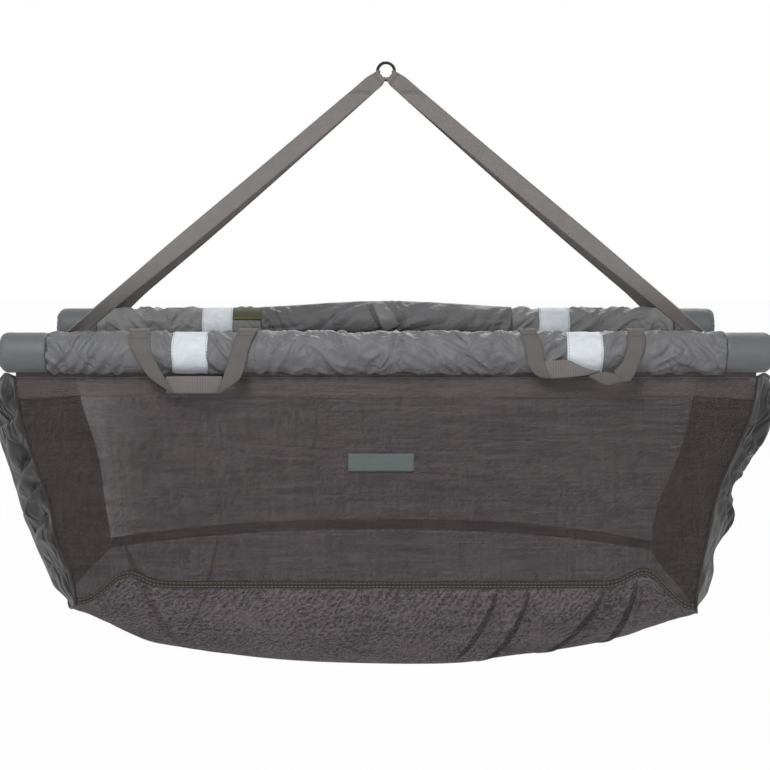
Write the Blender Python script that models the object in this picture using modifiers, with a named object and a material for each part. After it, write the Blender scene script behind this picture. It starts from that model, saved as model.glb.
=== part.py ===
"""Weigh sling for landing and weighing a fish, hung from its ring with the mouth open.

Two padded floating bars carry a see-through mesh trough with nylon ends. Four webbing straps
gather the bars to one hanging ring, and each bar has two carrying handles.

+X runs along the bars, +Y from the front bar to the rear bar, and +Z is up. The origin is the
centre of the hanging ring. Every size is in metres.
"""

from math import atan2, cos, pi, radians, sin, sqrt

import bmesh
import bpy
from mathutils import Vector

# Clearance between pieces that touch, and between pieces that turn on each other
FIT_GAP = 0.0003
SEWN_GAP = 0.0005

# Side bars
BAR_LENGTH = 1.15
BAR_SPACING = 0.42
BAR_DROP = 0.426
SLEEVE_RADIUS = 0.030
SLEEVE_WALL = 0.0017
CAP_LENGTH = 0.072
CAP_CORNER = 0.012
FLOAT_MIDDLE_GAP = 0.004
FLOAT_END_GAP = 0.0006
ROD_RADIUS = 0.006
ROD_WALL = 0.0012
ROD_END_MARGIN = 0.012

# Reflective bands round the bars
BAND_PLACE = 0.294
BAND_WIDTH = 0.053
BAND_THICKNESS = 0.0008

# Hanging ring and the webbing eyes that hold it
RING_HOLE_RADIUS = 0.011
RING_WIRE_RADIUS = 0.0025
EYE_CLEARANCE = 0.0008
EYE_LEG_GAP = 0.0008
EYE_HALF_TURN = radians(45)
EYE_NECK = 0.021
EYE_DROP = 0.034
EYE_ARC_SHARE = 0.36
EYE_FLARE_SHARE = 0.4

# Straps
WEBBING_WIDTH = 0.026
WEBBING_THICKNESS = 0.0015
STRAP_PLACE = 0.476
STRAP_TAIL = 0.026
STRAP_SEAT_TURNS = {"front": radians(45), "rear": radians(-35)}
STRAP_FREE_SHARE = 0.9
STRAP_TWIST_SHARE = 0.45
STRAP_SETTLE_SHARE = 0.12

# Carrying handles
HANDLE_INNER_PLACE = 0.211
HANDLE_OUTER_PLACE = 0.372
HANDLE_THICKNESS = 0.002
HANDLE_STANDOFF = 0.0009
GRIP_CENTRE = 0.289
GRIP_LENGTH = 0.078
GRIP_DROP = 0.0435
GRIP_WRAP_MARGIN = 0.002
GRIP_WRAP_WALL = 0.0012

# Trough: two mesh walls, the sagging mesh base and the two nylon end panels
HEM_HEIGHT = 0.006
HEM_THICKNESS = 0.003
HEM_END_MARGIN = 0.010
WALL_HALF_TOP = 0.555
WALL_HALF_BOTTOM = 0.475
WALL_LEAN = 0.010
SEAM_DROP = 0.362
SEAM_CORNER_DROP = 0.023
CLOTH_THICKNESS = 0.0012
BASE_SAG = 0.175
BASE_END_SAG = 0.048
BASE_END_BULGE = 0.036
BASE_FOLD_DEPTH = 0.006
END_TOP_SAG = 0.055
END_TOP_BULGE = 0.050
END_MIDDLE_BULGES = {"left": 0.074, "right": 0.056}
END_FOLD_DEPTH = 0.005
TAPE_WIDTH = 0.014
TAPE_THICKNESS = 0.001
TAPE_END_MARGIN = 0.004

# Patch on the front wall, tag and cover flap on the rear bar
PATCH_LENGTH = 0.099
PATCH_HEIGHT = 0.027
PATCH_THICKNESS = 0.0012
PATCH_SIDE_SHIFT = 0.0075
PATCH_DROP = 0.167
TAG_START = -0.2670
TAG_END = -0.2155
TAG_TURN_START = radians(3)
TAG_TURN_END = radians(66)
TAG_THICKNESS = 0.0008
FLAP_START = -0.2130
FLAP_END = 0.2200
FLAP_TURN_START = radians(4)
FLAP_TURN_END = radians(104)
FLAP_STANDOFF = 0.0006
FLAP_LIFT = 0.012
PULL_WIDTH = 0.020
PULL_THICKNESS = 0.004
PULL_LEAN = 0.024
PULL_START_SHARE = 0.14
PULL_END_SHARE = 0.78

# How finely the curved pieces are cut
ROUND_STEPS = 28
SMALL_ROUND_STEPS = 14
CORNER_STEPS = 4
RING_STEPS = 44
WIRE_STEPS = 10
MERGE_DISTANCE = 0.00005
SHARP_ANGLE = radians(35)

# Sizes that follow
BAR_HALF = BAR_LENGTH / 2
BAR_Y = BAR_SPACING / 2
BAR_Z = -BAR_DROP
SLEEVE_HALF = BAR_HALF - CAP_LENGTH
FLOAT_RADIUS = SLEEVE_RADIUS - SLEEVE_WALL - FIT_GAP
RING_RADIUS = RING_HOLE_RADIUS + RING_WIRE_RADIUS
HEM_TOP_Z = BAR_Z - SLEEVE_RADIUS - FIT_GAP - BAND_THICKNESS - FIT_GAP
HINGE_Z = HEM_TOP_Z - HEM_HEIGHT
TROUGH_TOP = HINGE_Z - BAR_Z
SEAM_Y = BAR_Y - WALL_LEAN
STRAP_RADIUS = SLEEVE_RADIUS + FIT_GAP + WEBBING_THICKNESS / 2
HANDLE_RADIUS = SLEEVE_RADIUS + HANDLE_STANDOFF + HANDLE_THICKNESS / 2

# The straps' run in the plane of the ring: how steeply they fall away from it
STRAP_END_Z = BAR_Z + STRAP_RADIUS * cos(STRAP_SEAT_TURNS["front"])
STRAP_FALL = atan2(-STRAP_END_Z, STRAP_PLACE)

SIDES = {"front": -1, "rear": 1}
ENDS = {"left": -1, "right": 1}


def clear_scene():
    """Remove every object that the file opened with."""
    for thing in list(bpy.data.objects):
        bpy.data.objects.remove(thing, do_unlink=True)


def make_material(name, colour, roughness, metallic=0.0):
    """A plain Principled material, its colour given as red, green and blue shares."""
    material = bpy.data.materials.new(name)
    material.use_nodes = True
    shader = material.node_tree.nodes["Principled BSDF"]
    shader.inputs["Base Color"].default_value = (*colour, 1)
    shader.inputs["Roughness"].default_value = roughness
    shader.inputs["Metallic"].default_value = metallic
    material.diffuse_color = (*colour, 1)
    return material


clear_scene()
parts = bpy.data.collections.new("weigh_sling")
bpy.context.scene.collection.children.link(parts)

NYLON = make_material("grey_nylon", (0.165, 0.165, 0.175), 0.6)
END_NYLON = make_material("end_nylon", (0.070, 0.070, 0.075), 0.6)
MESH = make_material("brown_mesh", (0.080, 0.068, 0.068), 0.85)
BINDING = make_material("brown_binding", (0.040, 0.033, 0.031), 0.8)
WEBBING = make_material("taupe_webbing", (0.150, 0.135, 0.125), 0.75)
REFLECTIVE = make_material("reflective_band", (0.620, 0.650, 0.680), 0.35)
OLIVE = make_material("olive_tag", (0.100, 0.105, 0.055), 0.7)
PATCH = make_material("bare_patch", (0.130, 0.165, 0.165), 0.7)
BLACK_METAL = make_material("black_metal", (0.012, 0.012, 0.013), 0.35, 0.8)
FOAM = make_material("float_foam", (0.040, 0.040, 0.042), 0.9)
FIBRE = make_material("rod_fibreglass", (0.300, 0.280, 0.200), 0.4)


def finish_object(name, mesh, material):
    """Link one named part with its material and smooth rounds."""
    mesh.materials.clear()
    mesh.materials.append(material)
    mesh.shade_smooth()
    mesh.set_sharp_from_angle(angle=SHARP_ANGLE)
    thing = bpy.data.objects.new(name, mesh)
    parts.objects.link(thing)
    return thing


def sheet(name, columns, rows, place, thickness, material, closed=False):
    """A cloth piece: a grid laid out by place(u, v), u and v from 0 to 1, given its thickness.

    A closed sheet has its first and last columns welded, which makes it a sleeve.
    """
    grid = bmesh.new()
    bmesh.ops.create_grid(grid, x_segments=columns, y_segments=rows, size=0.5)
    for vertex in grid.verts:
        vertex.co = place(vertex.co.x + 0.5, vertex.co.y + 0.5)
    if closed:
        bmesh.ops.remove_doubles(grid, verts=grid.verts, dist=MERGE_DISTANCE)
    mesh = bpy.data.meshes.new(name)
    grid.to_mesh(mesh)
    grid.free()
    thing = finish_object(name, mesh, material)
    solid = thing.modifiers.new("thickness", "SOLIDIFY")
    solid.thickness = thickness
    solid.offset = 0
    solid.use_even_offset = True
    return thing


def turned(name, profile, steps, material, along=1, closed=False):
    """A piece turned about its own Z axis and laid along X, away from the middle if along is -1."""
    mesh = bpy.data.meshes.new(name)
    points = [(radius, 0, height) for radius, height in profile]
    edges = [(i, i + 1) for i in range(len(points) - 1)]
    if closed:
        edges.append((len(points) - 1, 0))
    mesh.from_pydata(points, edges, [])
    thing = finish_object(name, mesh, material)
    screw = thing.modifiers.new("turn", "SCREW")
    screw.steps = steps
    screw.render_steps = steps
    screw.use_merge_vertices = True
    screw.merge_threshold = MERGE_DISTANCE
    screw.use_smooth_shade = True
    thing.rotation_euler = (0, along * pi / 2, 0)
    return thing


def tube_profile(inner, outer, low, high):
    """The closed outline of a tube's wall, its outer side first, from top to bottom."""
    return [(outer, high), (outer, low), (inner, low), (inner, high)]


def between(start, end, share):
    """The value a given share of the way from start to end."""
    return start + (end - start) * share


def eased(share):
    """A share from 0 to 1 that starts and stops gently."""
    share = max(0, min(1, share))
    return share * share * (3 - 2 * share)


def crown(across):
    """1 in the middle and 0 at both edges, where across runs from -1 to 1."""
    return 1 - across * across


def bar_point(side, x, radius, turn):
    """A point round a bar: turn is measured from its crest, towards the other bar."""
    return Vector((x, side * (BAR_Y - radius * sin(turn)), BAR_Z + radius * cos(turn)))


def add_bar(side_name, side):
    """One floating bar: rod, two floats, nylon sleeve, end caps and reflective bands."""
    seat = (0, side * BAR_Y, BAR_Z)
    rod_half = BAR_HALF - ROD_END_MARGIN
    rod = turned(
        f"{side_name}_bar_rod",
        tube_profile(ROD_RADIUS - ROD_WALL, ROD_RADIUS, -rod_half, rod_half),
        SMALL_ROUND_STEPS, FIBRE, closed=True)
    rod.location = seat

    float_start = FLOAT_MIDDLE_GAP / 2
    float_end = BAR_HALF - SLEEVE_WALL - FLOAT_END_GAP
    bore = ROD_RADIUS + FIT_GAP
    float_profile = [
        (FLOAT_RADIUS - CAP_CORNER, float_end), (FLOAT_RADIUS, float_end - CAP_CORNER),
        (FLOAT_RADIUS, float_start), (bore, float_start), (bore, float_end)]
    sleeve = turned(
        f"{side_name}_sleeve",
        tube_profile(SLEEVE_RADIUS - SLEEVE_WALL, SLEEVE_RADIUS, -SLEEVE_HALF, SLEEVE_HALF),
        ROUND_STEPS, NYLON, closed=True)
    sleeve.location = seat

    for end_name, end in ENDS.items():
        floating = turned(f"{side_name}_{end_name}_float", float_profile,
                          ROUND_STEPS, FOAM, along=end, closed=True)
        floating.location = seat
        cap = turned(f"{side_name}_{end_name}_end_cap", cap_profile(),
                     ROUND_STEPS, NYLON, along=end)
        cap.location = seat
        band_inner = SLEEVE_RADIUS + FIT_GAP
        band = turned(
            f"{side_name}_{end_name}_band",
            tube_profile(band_inner, band_inner + BAND_THICKNESS,
                         BAND_PLACE - BAND_WIDTH / 2, BAND_PLACE + BAND_WIDTH / 2),
            ROUND_STEPS, REFLECTIVE, along=end, closed=True)
        band.location = seat


def cap_profile():
    """The outline of a bar's end cap, from the middle of its end to its mouth and back inside."""
    mouth = SLEEVE_HALF + FIT_GAP
    outline = [(0, BAR_HALF)]
    for step in range(CORNER_STEPS + 1):
        turn = pi / 2 * step / CORNER_STEPS
        outline.append((SLEEVE_RADIUS - CAP_CORNER + CAP_CORNER * sin(turn),
                        BAR_HALF - CAP_CORNER + CAP_CORNER * cos(turn)))
    outline.append((SLEEVE_RADIUS, mouth))
    inside = SLEEVE_RADIUS - SLEEVE_WALL
    inner_corner = CAP_CORNER - SLEEVE_WALL
    outline.append((inside, mouth))
    for step in range(CORNER_STEPS + 1):
        turn = pi / 2 * (1 - step / CORNER_STEPS)
        outline.append((inside - inner_corner + inner_corner * sin(turn),
                        BAR_HALF - CAP_CORNER + inner_corner * cos(turn)))
    outline.append((0, BAR_HALF - SLEEVE_WALL))
    return outline


def add_ring():
    """The hanging ring, upright in the plane of the bars' length."""
    bpy.ops.mesh.primitive_torus_add(
        major_radius=RING_RADIUS, minor_radius=RING_WIRE_RADIUS,
        major_segments=RING_STEPS, minor_segments=WIRE_STEPS, rotation=(pi / 2, 0, 0))
    ring = bpy.context.object
    ring.name = "hanging_ring"
    ring.data.materials.clear()
    ring.data.materials.append(BLACK_METAL)
    ring.data.shade_smooth()
    for holder in list(ring.users_collection):
        holder.objects.unlink(ring)
    parts.objects.link(ring)


def eye_cut(across):
    """How far along the strap its level cut under the ring lies, at a place across its width."""
    return (EYE_DROP - across * cos(STRAP_FALL)) / sin(STRAP_FALL)


def strap_plane_point(end, along, across, y):
    """A point of the webbing in the plane of the ring, from distances along and across it."""
    x = along * cos(STRAP_FALL) - across * sin(STRAP_FALL)
    z = -along * sin(STRAP_FALL) - across * cos(STRAP_FALL)
    return Vector((end * x, y, z))


def eye_place(end):
    """Layout of the webbing eye: down from the rear cut, round the ring's wire, up to the front."""
    leg_y = (WEBBING_THICKNESS + EYE_LEG_GAP) / 2
    wrap = RING_WIRE_RADIUS + EYE_CLEARANCE + WEBBING_THICKNESS / 2
    arc_start = (1 - EYE_ARC_SHARE) / 2

    def place(u, v):
        spread = between(-EYE_HALF_TURN, EYE_HALF_TURN, v)
        from_end = min(u, 1 - u)
        if from_end >= arc_start:
            turn = pi * (u - arc_start) / EYE_ARC_SHARE
            reach = RING_RADIUS - wrap * sin(turn)
            return strap_plane_point(end, reach * cos(spread), reach * sin(spread), wrap * cos(turn))
        facing = 1 if u < 0.5 else -1
        share = 1 - from_end / arc_start
        flare = min(1, share / EYE_FLARE_SHARE)
        level = between(-WEBBING_WIDTH / 2, WEBBING_WIDTH / 2, v)
        across = between(RING_RADIUS * sin(spread), level, flare)
        along = between(RING_RADIUS * cos(spread), eye_cut(level) - FIT_GAP, share)
        neck = max(0, min(1, (EYE_NECK - along) / (EYE_NECK - RING_RADIUS)))
        return strap_plane_point(end, along, across, facing * between(leg_y, wrap, neck))

    return place


def strap_place(side_name, end):
    """Layout of one strap: straight from its eye, turning to lie on the bar, then sewn along it."""
    side = SIDES[side_name]
    seat_turn = STRAP_SEAT_TURNS[side_name]
    downhill = 1 if seat_turn > 0 else -1
    top_y = side * (WEBBING_THICKNESS + EYE_LEG_GAP) / 2
    seat = bar_point(side, end * STRAP_PLACE, STRAP_RADIUS, seat_turn)
    top_middle = strap_plane_point(end, eye_cut(0), 0, top_y)
    run = (seat - top_middle).normalized()
    seat_normal = Vector((0, -side * sin(seat_turn), cos(seat_turn)))
    cross = seat_normal.cross(run).normalized()
    if cross.z > 0:
        cross = -cross

    def place(u, v):
        across = between(-WEBBING_WIDTH / 2, WEBBING_WIDTH / 2, u)
        top = strap_plane_point(end, eye_cut(across), across, top_y)
        top.z -= SEWN_GAP
        flat_end = seat + cross * across
        seat_x = end * STRAP_PLACE + cross.x * across
        round_turn = seat_turn + downhill * across / STRAP_RADIUS
        round_end = bar_point(side, seat_x, STRAP_RADIUS, round_turn)
        if v <= STRAP_FREE_SHARE:
            share = v / STRAP_FREE_SHARE
            twist = eased((share - 1 + STRAP_TWIST_SHARE) / STRAP_TWIST_SHARE)
            settle = eased((share - 1 + STRAP_SETTLE_SHARE) / STRAP_SETTLE_SHARE)
            middle = top_middle + (seat - top_middle) * share
            offset = (top - top_middle) * (1 - twist) + (flat_end - seat) * twist
            return middle + offset + (round_end - flat_end) * settle
        sewn = (v - STRAP_FREE_SHARE) / (1 - STRAP_FREE_SHARE)
        tail_x = end * (STRAP_PLACE + STRAP_TAIL)
        return Vector((between(seat_x, tail_x, sewn), round_end.y, round_end.z))

    return place


def add_harness():
    """The ring, the two webbing eyes round it and the four straps down to the bars."""
    add_ring()
    for end_name, end in ENDS.items():
        sheet(f"{end_name}_strap_eye", 28, 4, eye_place(end), WEBBING_THICKNESS, WEBBING)
        for side_name, side in SIDES.items():
            sheet(f"{side_name}_{end_name}_strap", 4, 30, strap_place(side_name, end),
                  WEBBING_THICKNESS, WEBBING)


def handle_point(side, x, reach):
    """A point of a handle: reach is the length of webbing from the bar's crest."""
    quarter = HANDLE_RADIUS * pi / 2
    if reach < quarter:
        turn = -reach / HANDLE_RADIUS
        return bar_point(side, x, HANDLE_RADIUS, turn)
    return Vector((x, side * (BAR_Y + HANDLE_RADIUS), BAR_Z - (reach - quarter)))


def handle_outline(end):
    """Matching points of a handle's inner and outer edges, as places along the bar and reaches."""
    half = WEBBING_WIDTH / 2
    grip_reach = HANDLE_RADIUS * pi / 2 + GRIP_DROP
    far = GRIP_CENTRE + GRIP_LENGTH / 2
    near = GRIP_CENTRE - GRIP_LENGTH / 2
    start_reach = FIT_GAP
    inner = [
        (HANDLE_OUTER_PLACE - half, start_reach), (far - half, grip_reach - half),
        (near + half, grip_reach - half), (HANDLE_INNER_PLACE + half, start_reach)]
    outer = [
        (HANDLE_OUTER_PLACE + half, start_reach), (far, grip_reach + half),
        (near, grip_reach + half), (HANDLE_INNER_PLACE - half, start_reach)]
    return inner, outer


def handle_place(side, end):
    """Layout of a handle's webbing loop: down one leg, along the grip and up the other leg."""
    inner, outer = handle_outline(end)
    leg_share = 0.4

    def along_edge(edge, u):
        if u < leg_share:
            leg, share = 0, u / leg_share
        elif u <= 1 - leg_share:
            leg, share = 1, (u - leg_share) / (1 - 2 * leg_share)
        else:
            leg, share = 2, (u - 1 + leg_share) / leg_share
        start, stop = edge[leg], edge[leg + 1]
        return between(start[0], stop[0], share), between(start[1], stop[1], share)

    def place(u, v):
        inner_x, inner_reach = along_edge(inner, u)
        outer_x, outer_reach = along_edge(outer, u)
        x = between(inner_x, outer_x, v)
        reach = between(inner_reach, outer_reach, v)
        return handle_point(side, end * x, reach)

    return place


def grip_place(side, end):
    """Layout of the wrap round a handle's grip: a flat sleeve along X."""
    half_height = WEBBING_WIDTH / 2 + FIT_GAP + GRIP_WRAP_WALL / 2
    half_depth = HANDLE_THICKNESS / 2 + FIT_GAP + GRIP_WRAP_WALL / 2
    half_length = (GRIP_LENGTH - WEBBING_WIDTH) / 2 - GRIP_WRAP_MARGIN
    middle_y = BAR_Y + HANDLE_RADIUS
    middle_z = BAR_Z - GRIP_DROP
    corners = [(-half_depth, -half_height), (half_depth, -half_height),
               (half_depth, half_height), (-half_depth, half_height)]

    def place(u, v):
        step = u * len(corners)
        corner = int(step) % len(corners)
        after = (corner + 1) % len(corners)
        share = step - int(step)
        y = between(corners[corner][0], corners[after][0], share)
        z = between(corners[corner][1], corners[after][1], share)
        x = GRIP_CENTRE + between(-half_length, half_length, v)
        return Vector((end * x, side * (middle_y + y), middle_z + z))

    return place


def add_handles():
    """Two webbing handles on the outer face of each bar, each with a wrapped grip."""
    for side_name, side in SIDES.items():
        for end_name, end in ENDS.items():
            name = f"{side_name}_{end_name}_handle"
            sheet(name, 30, 2, handle_place(side, end), HANDLE_THICKNESS, WEBBING)
            sheet(f"{name}_grip", 8, 1, grip_place(side, end), GRIP_WRAP_WALL, WEBBING, closed=True)


def wall_edge(share):
    """Half the walls' length, from their top (0) to the base seam (1)."""
    return between(WALL_HALF_TOP, WALL_HALF_BOTTOM, eased(share))


def seam_z(along):
    """Height of the base seams, which drop a little towards the corners."""
    return BAR_Z - SEAM_DROP - SEAM_CORNER_DROP * along ** 4


def wall_place(side):
    """Layout of a mesh wall from the hem under its bar down to the base seam."""
    def place(u, v):
        along = between(-1, 1, u)
        x = along * (wall_edge(v) - FIT_GAP)
        y = side * between(BAR_Y, SEAM_Y, v)
        return Vector((x, y, between(HINGE_Z - FIT_GAP, seam_z(along) + FIT_GAP, v)))

    return place


def base_place(u, v):
    """Layout of the mesh base: a belly between the two base seams, with slack folds."""
    along = between(-1, 1, u)
    across = between(-1, 1, v)
    half = WALL_HALF_BOTTOM + BASE_END_BULGE * crown(across) - CLOTH_THICKNESS / 2 - SEWN_GAP
    sag = between(BASE_SAG, BASE_END_SAG, abs(along) ** 3)
    slack = 6.75 * across ** 2 * crown(across) ** 2 * crown(along)
    fold = BASE_FOLD_DEPTH * slack * sin(7 * pi * along + 3 * across)
    height = seam_z(along) - CLOTH_THICKNESS / 2 - sag * crown(across) + fold
    return Vector((along * half, across * SEAM_Y, height))


def end_bulge(middle, share):
    """How far an end panel swells past its side edges, from its top (0) to its bottom (1)."""
    ends = between(END_TOP_BULGE, BASE_END_BULGE, share)
    return ends + (middle - (END_TOP_BULGE + BASE_END_BULGE) / 2) * crown(2 * share - 1)


def end_place(end_name):
    """Layout of an end panel: swelling out between the walls, its top edge hanging slack."""
    end = ENDS[end_name]

    def place(u, v):
        across = between(-1, 1, u)
        x = wall_edge(v) + end_bulge(END_MIDDLE_BULGES[end_name], v) * crown(across)
        x += END_FOLD_DEPTH * sin(3 * pi * across) * crown(2 * v - 1) * crown(across)
        y = across * (between(BAR_Y, SEAM_Y, v) - CLOTH_THICKNESS)
        top = HINGE_Z - CLOTH_THICKNESS - END_TOP_SAG * crown(across)
        bottom = seam_z(1) - BASE_END_SAG * crown(across)
        return Vector((end * x, y, between(top, bottom, v)))

    return place


def add_trough():
    """Hems, mesh walls, base and end panels, with the tapes over the base seams and the patch."""
    for side_name, side in SIDES.items():
        hem_half = WALL_HALF_TOP - HEM_END_MARGIN

        def hem_place(u, v):
            return Vector((between(-hem_half, hem_half, u), side * BAR_Y, between(HEM_TOP_Z, HINGE_Z, v)))

        sheet(f"{side_name}_hem", 1, 1, hem_place, HEM_THICKNESS, BINDING)
        sheet(f"{side_name}_mesh_wall", 16, 4, wall_place(side), CLOTH_THICKNESS, MESH)

        tape_y = SEAM_Y + CLOTH_THICKNESS / 2 + FIT_GAP + TAPE_THICKNESS / 2
        tape_half = WALL_HALF_BOTTOM - TAPE_END_MARGIN

        def tape_place(u, v):
            along = between(-1, 1, u)
            lean = WALL_LEAN * TAPE_WIDTH / SEAM_DROP
            y = tape_y + between(lean, 0, v)
            z = seam_z(along) + between(TAPE_WIDTH, 0, v)
            return Vector((along * tape_half, side * y, z))

        sheet(f"{side_name}_base_tape", 16, 1, tape_place, TAPE_THICKNESS, BINDING)

    sheet("base_mesh", 30, 12, base_place, CLOTH_THICKNESS, MESH)
    for end_name in ENDS:
        sheet(f"{end_name}_end_panel", 12, 10, end_place(end_name), CLOTH_THICKNESS, END_NYLON)

    patch_y = BAR_Y + CLOTH_THICKNESS / 2 + FIT_GAP + PATCH_THICKNESS / 2

    def patch_place(u, v):
        x = between(-PATCH_LENGTH / 2, PATCH_LENGTH / 2, u) - PATCH_SIDE_SHIFT
        drop = PATCH_DROP + between(-PATCH_HEIGHT / 2, PATCH_HEIGHT / 2, v)
        lean = WALL_LEAN * (drop + TROUGH_TOP) / (SEAM_DROP + TROUGH_TOP)
        return Vector((x, -(patch_y - lean), BAR_Z - drop))

    sheet("name_patch", 1, 1, patch_place, PATCH_THICKNESS, PATCH)


def flap_radius(u, v):
    """How far the cover flap stands from the rear bar's axis: slack in its middle."""
    slack = FLAP_LIFT * sin(pi * u) * sin(pi * v)
    return SLEEVE_RADIUS + FLAP_STANDOFF + CLOTH_THICKNESS / 2 + slack


def add_cover_flap():
    """The slack cover flap along the rear bar, its rolled pull, and the olive tag beside it."""
    def flap_place(u, v):
        turn = between(FLAP_TURN_START, FLAP_TURN_END, v)
        return bar_point(1, between(FLAP_START, FLAP_END, u), flap_radius(u, v), turn)

    def pull_place(u, v):
        down = between(PULL_START_SHARE, PULL_END_SHARE, v)
        x = between(-PULL_WIDTH / 2, PULL_WIDTH / 2, u) + between(-PULL_LEAN / 2, PULL_LEAN / 2, v)
        over_flap = (x - FLAP_START) / (FLAP_END - FLAP_START)
        proud = (CLOTH_THICKNESS + PULL_THICKNESS) / 2 + SEWN_GAP
        turn = between(FLAP_TURN_START, FLAP_TURN_END, down)
        return bar_point(1, x, flap_radius(over_flap, down) + proud, turn)

    def tag_place(u, v):
        turn = between(TAG_TURN_START, TAG_TURN_END, v)
        radius = SLEEVE_RADIUS + FIT_GAP + TAG_THICKNESS / 2
        return bar_point(1, between(TAG_START, TAG_END, u), radius, turn)

    sheet("cover_flap", 14, 8, flap_place, CLOTH_THICKNESS, NYLON)
    sheet("flap_pull", 2, 6, pull_place, PULL_THICKNESS, NYLON)
    sheet("olive_tag", 1, 5, tag_place, TAG_THICKNESS, OLIVE)


for bar_name, bar_side in SIDES.items():
    add_bar(bar_name, bar_side)
add_harness()
add_handles()
add_trough()
add_cover_flap()
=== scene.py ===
"""Looks of the weigh sling: nylon bars, see-through mesh trough, webbing harness and handles.

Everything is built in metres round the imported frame. +X runs along the bars, +Y from the front
bar to the rear bar and +Z is up, with the origin in the centre of the hanging ring.
"""

from math import atan2, cos, exp, pi, radians, sin, sqrt

import bpy
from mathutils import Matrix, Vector, noise


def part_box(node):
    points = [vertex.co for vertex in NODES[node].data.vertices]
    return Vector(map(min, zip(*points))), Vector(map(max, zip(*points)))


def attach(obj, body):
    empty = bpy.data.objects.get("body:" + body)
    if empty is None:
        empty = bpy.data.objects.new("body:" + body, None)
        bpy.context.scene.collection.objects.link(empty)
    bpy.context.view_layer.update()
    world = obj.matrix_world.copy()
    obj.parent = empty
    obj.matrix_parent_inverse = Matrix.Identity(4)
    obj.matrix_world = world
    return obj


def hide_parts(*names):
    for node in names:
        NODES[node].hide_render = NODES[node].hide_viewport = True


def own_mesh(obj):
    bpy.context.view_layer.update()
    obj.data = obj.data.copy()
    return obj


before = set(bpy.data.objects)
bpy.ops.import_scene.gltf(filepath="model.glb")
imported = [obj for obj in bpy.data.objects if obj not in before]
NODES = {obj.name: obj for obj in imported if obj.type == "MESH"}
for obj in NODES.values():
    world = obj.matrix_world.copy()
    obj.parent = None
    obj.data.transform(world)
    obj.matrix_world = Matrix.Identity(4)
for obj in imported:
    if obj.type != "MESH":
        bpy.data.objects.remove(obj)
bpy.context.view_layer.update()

SIDES = {"front": -1, "rear": 1}
ENDS = {"left": -1, "right": 1}

# Sizes read from the frame
sleeve_low, sleeve_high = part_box("rear_sleeve")
SLEEVE_RADIUS = (sleeve_high.z - sleeve_low.z) / 2
SLEEVE_ROUND = 2 * pi * SLEEVE_RADIUS
SLEEVE_HALF = sleeve_high.x
BAR_Y = (sleeve_high.y + sleeve_low.y) / 2
BAR_Z = (sleeve_high.z + sleeve_low.z) / 2
BAR_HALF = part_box("rear_right_end_cap")[1].x
ring_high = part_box("hanging_ring")[1]
WIRE_RADIUS = ring_high.y
RING_RADIUS = ring_high.x - WIRE_RADIUS
HEM_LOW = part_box("rear_hem")[0].z
band_low, band_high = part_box("rear_right_band")
BAND_MIDDLE = (band_low.x + band_high.x) / 2
BAND_HALF = (band_high.x - band_low.x) / 2
tag_low, tag_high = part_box("olive_tag")
flap_low, flap_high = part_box("cover_flap")
pull_low, pull_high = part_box("flap_pull")
patch_low, patch_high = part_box("name_patch")
wall_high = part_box("rear_mesh_wall")[1]
WALL_TOP_Z = wall_high.z
WALL_HALF_TOP = wall_high.x

# The camera of the photograph
CAMERA_PLACE = (-0.0016, -2.519, -0.161)
CAMERA_TILT = radians(82.26)
CAMERA_LENS = 72.75
SENSOR_WIDTH = 36

# Webbing
WEBBING_WIDTH = 0.026
WEBBING_THICKNESS = 0.0015
EYE_CLEARANCE = 0.0008
EYE_LEG_GAP = 0.0008
EYE_HALF_TURN = radians(47)
EYE_NECK = 0.021
EYE_DROP = 0.034
EYE_ARC_SHARE = 0.36
EYE_FLARE_SHARE = 0.4
STRAP_PLACE = 0.476
STRAP_TAIL = 0.026
STRAP_SEAT_TURNS = {"front": radians(45), "rear": radians(-35)}
STRAP_FREE_SHARE = 0.9
STRAP_TWIST_SHARE = 0.45
STRAP_SETTLE_SHARE = 0.12
STRAP_RADIUS = SLEEVE_RADIUS + WEBBING_THICKNESS / 2 + 0.0003
HANDLE_THICKNESS = 0.002
HANDLE_RADIUS = SLEEVE_RADIUS + 0.0019
STRAP_FALL = atan2(-(BAR_Z + STRAP_RADIUS * cos(STRAP_SEAT_TURNS["front"])), STRAP_PLACE)

# Trough
SEAM_Y = BAR_Y - 0.010
SEAM_DROP = 0.362
MESH_THICKNESS = 0.0008
NYLON_THICKNESS = 0.0008
SLEEVE_CLOTH = 0.0006
WALL_BAND_HEIGHT = 0.030
WALL_HALF_BOTTOM = 0.475
HEM_WIDTH = 0.014
TAPE_WIDTH = 0.028
TAPE_SHARE = 0.996
BASE_WIDTH = 0.56
END_PANEL_CUT = (0.46, 0.42)

# Cloth thickness of the smaller pieces
BAND_CLOTH = 0.0007
TAPE_CLOTH = 0.0008
PATCH_CLOTH = 0.0011
TAG_CLOTH = 0.001
FLAP_CLOTH = 0.0009

# Radii of the cords and rolled edges
SIDE_SEAM_RADIUS = 0.0019
PIPING_RADIUS = 0.0015
END_SEAM_RADIUS = 0.0020
END_BINDING_RADIUS = 0.0022

# Rows of stitches: across the webbing, past a sleeve's end, in from an edge, off the webbing's middle
WEBBING_ROWS = (0.12, 0.88)
CAP_ROWS = (-0.0035, 0.0045)
BAND_INSET = 0.0025
PATCH_INSET = 0.0022
STITCH_LIFT = WEBBING_THICKNESS / 2 + 0.0001


def clamp(value, low=0.0, high=1.0):
    """A value kept between two limits."""
    return max(low, min(high, value))


def within(value, span):
    """Whether a value lies between the two ends of a span."""
    return span[0] < value < span[1]


def between(start, end, share):
    """The value a given share of the way from start to end."""
    return start + (end - start) * share


def eased(share):
    """A share from 0 to 1 that starts and stops gently."""
    share = clamp(share)
    return share * share * (3 - 2 * share)


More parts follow.
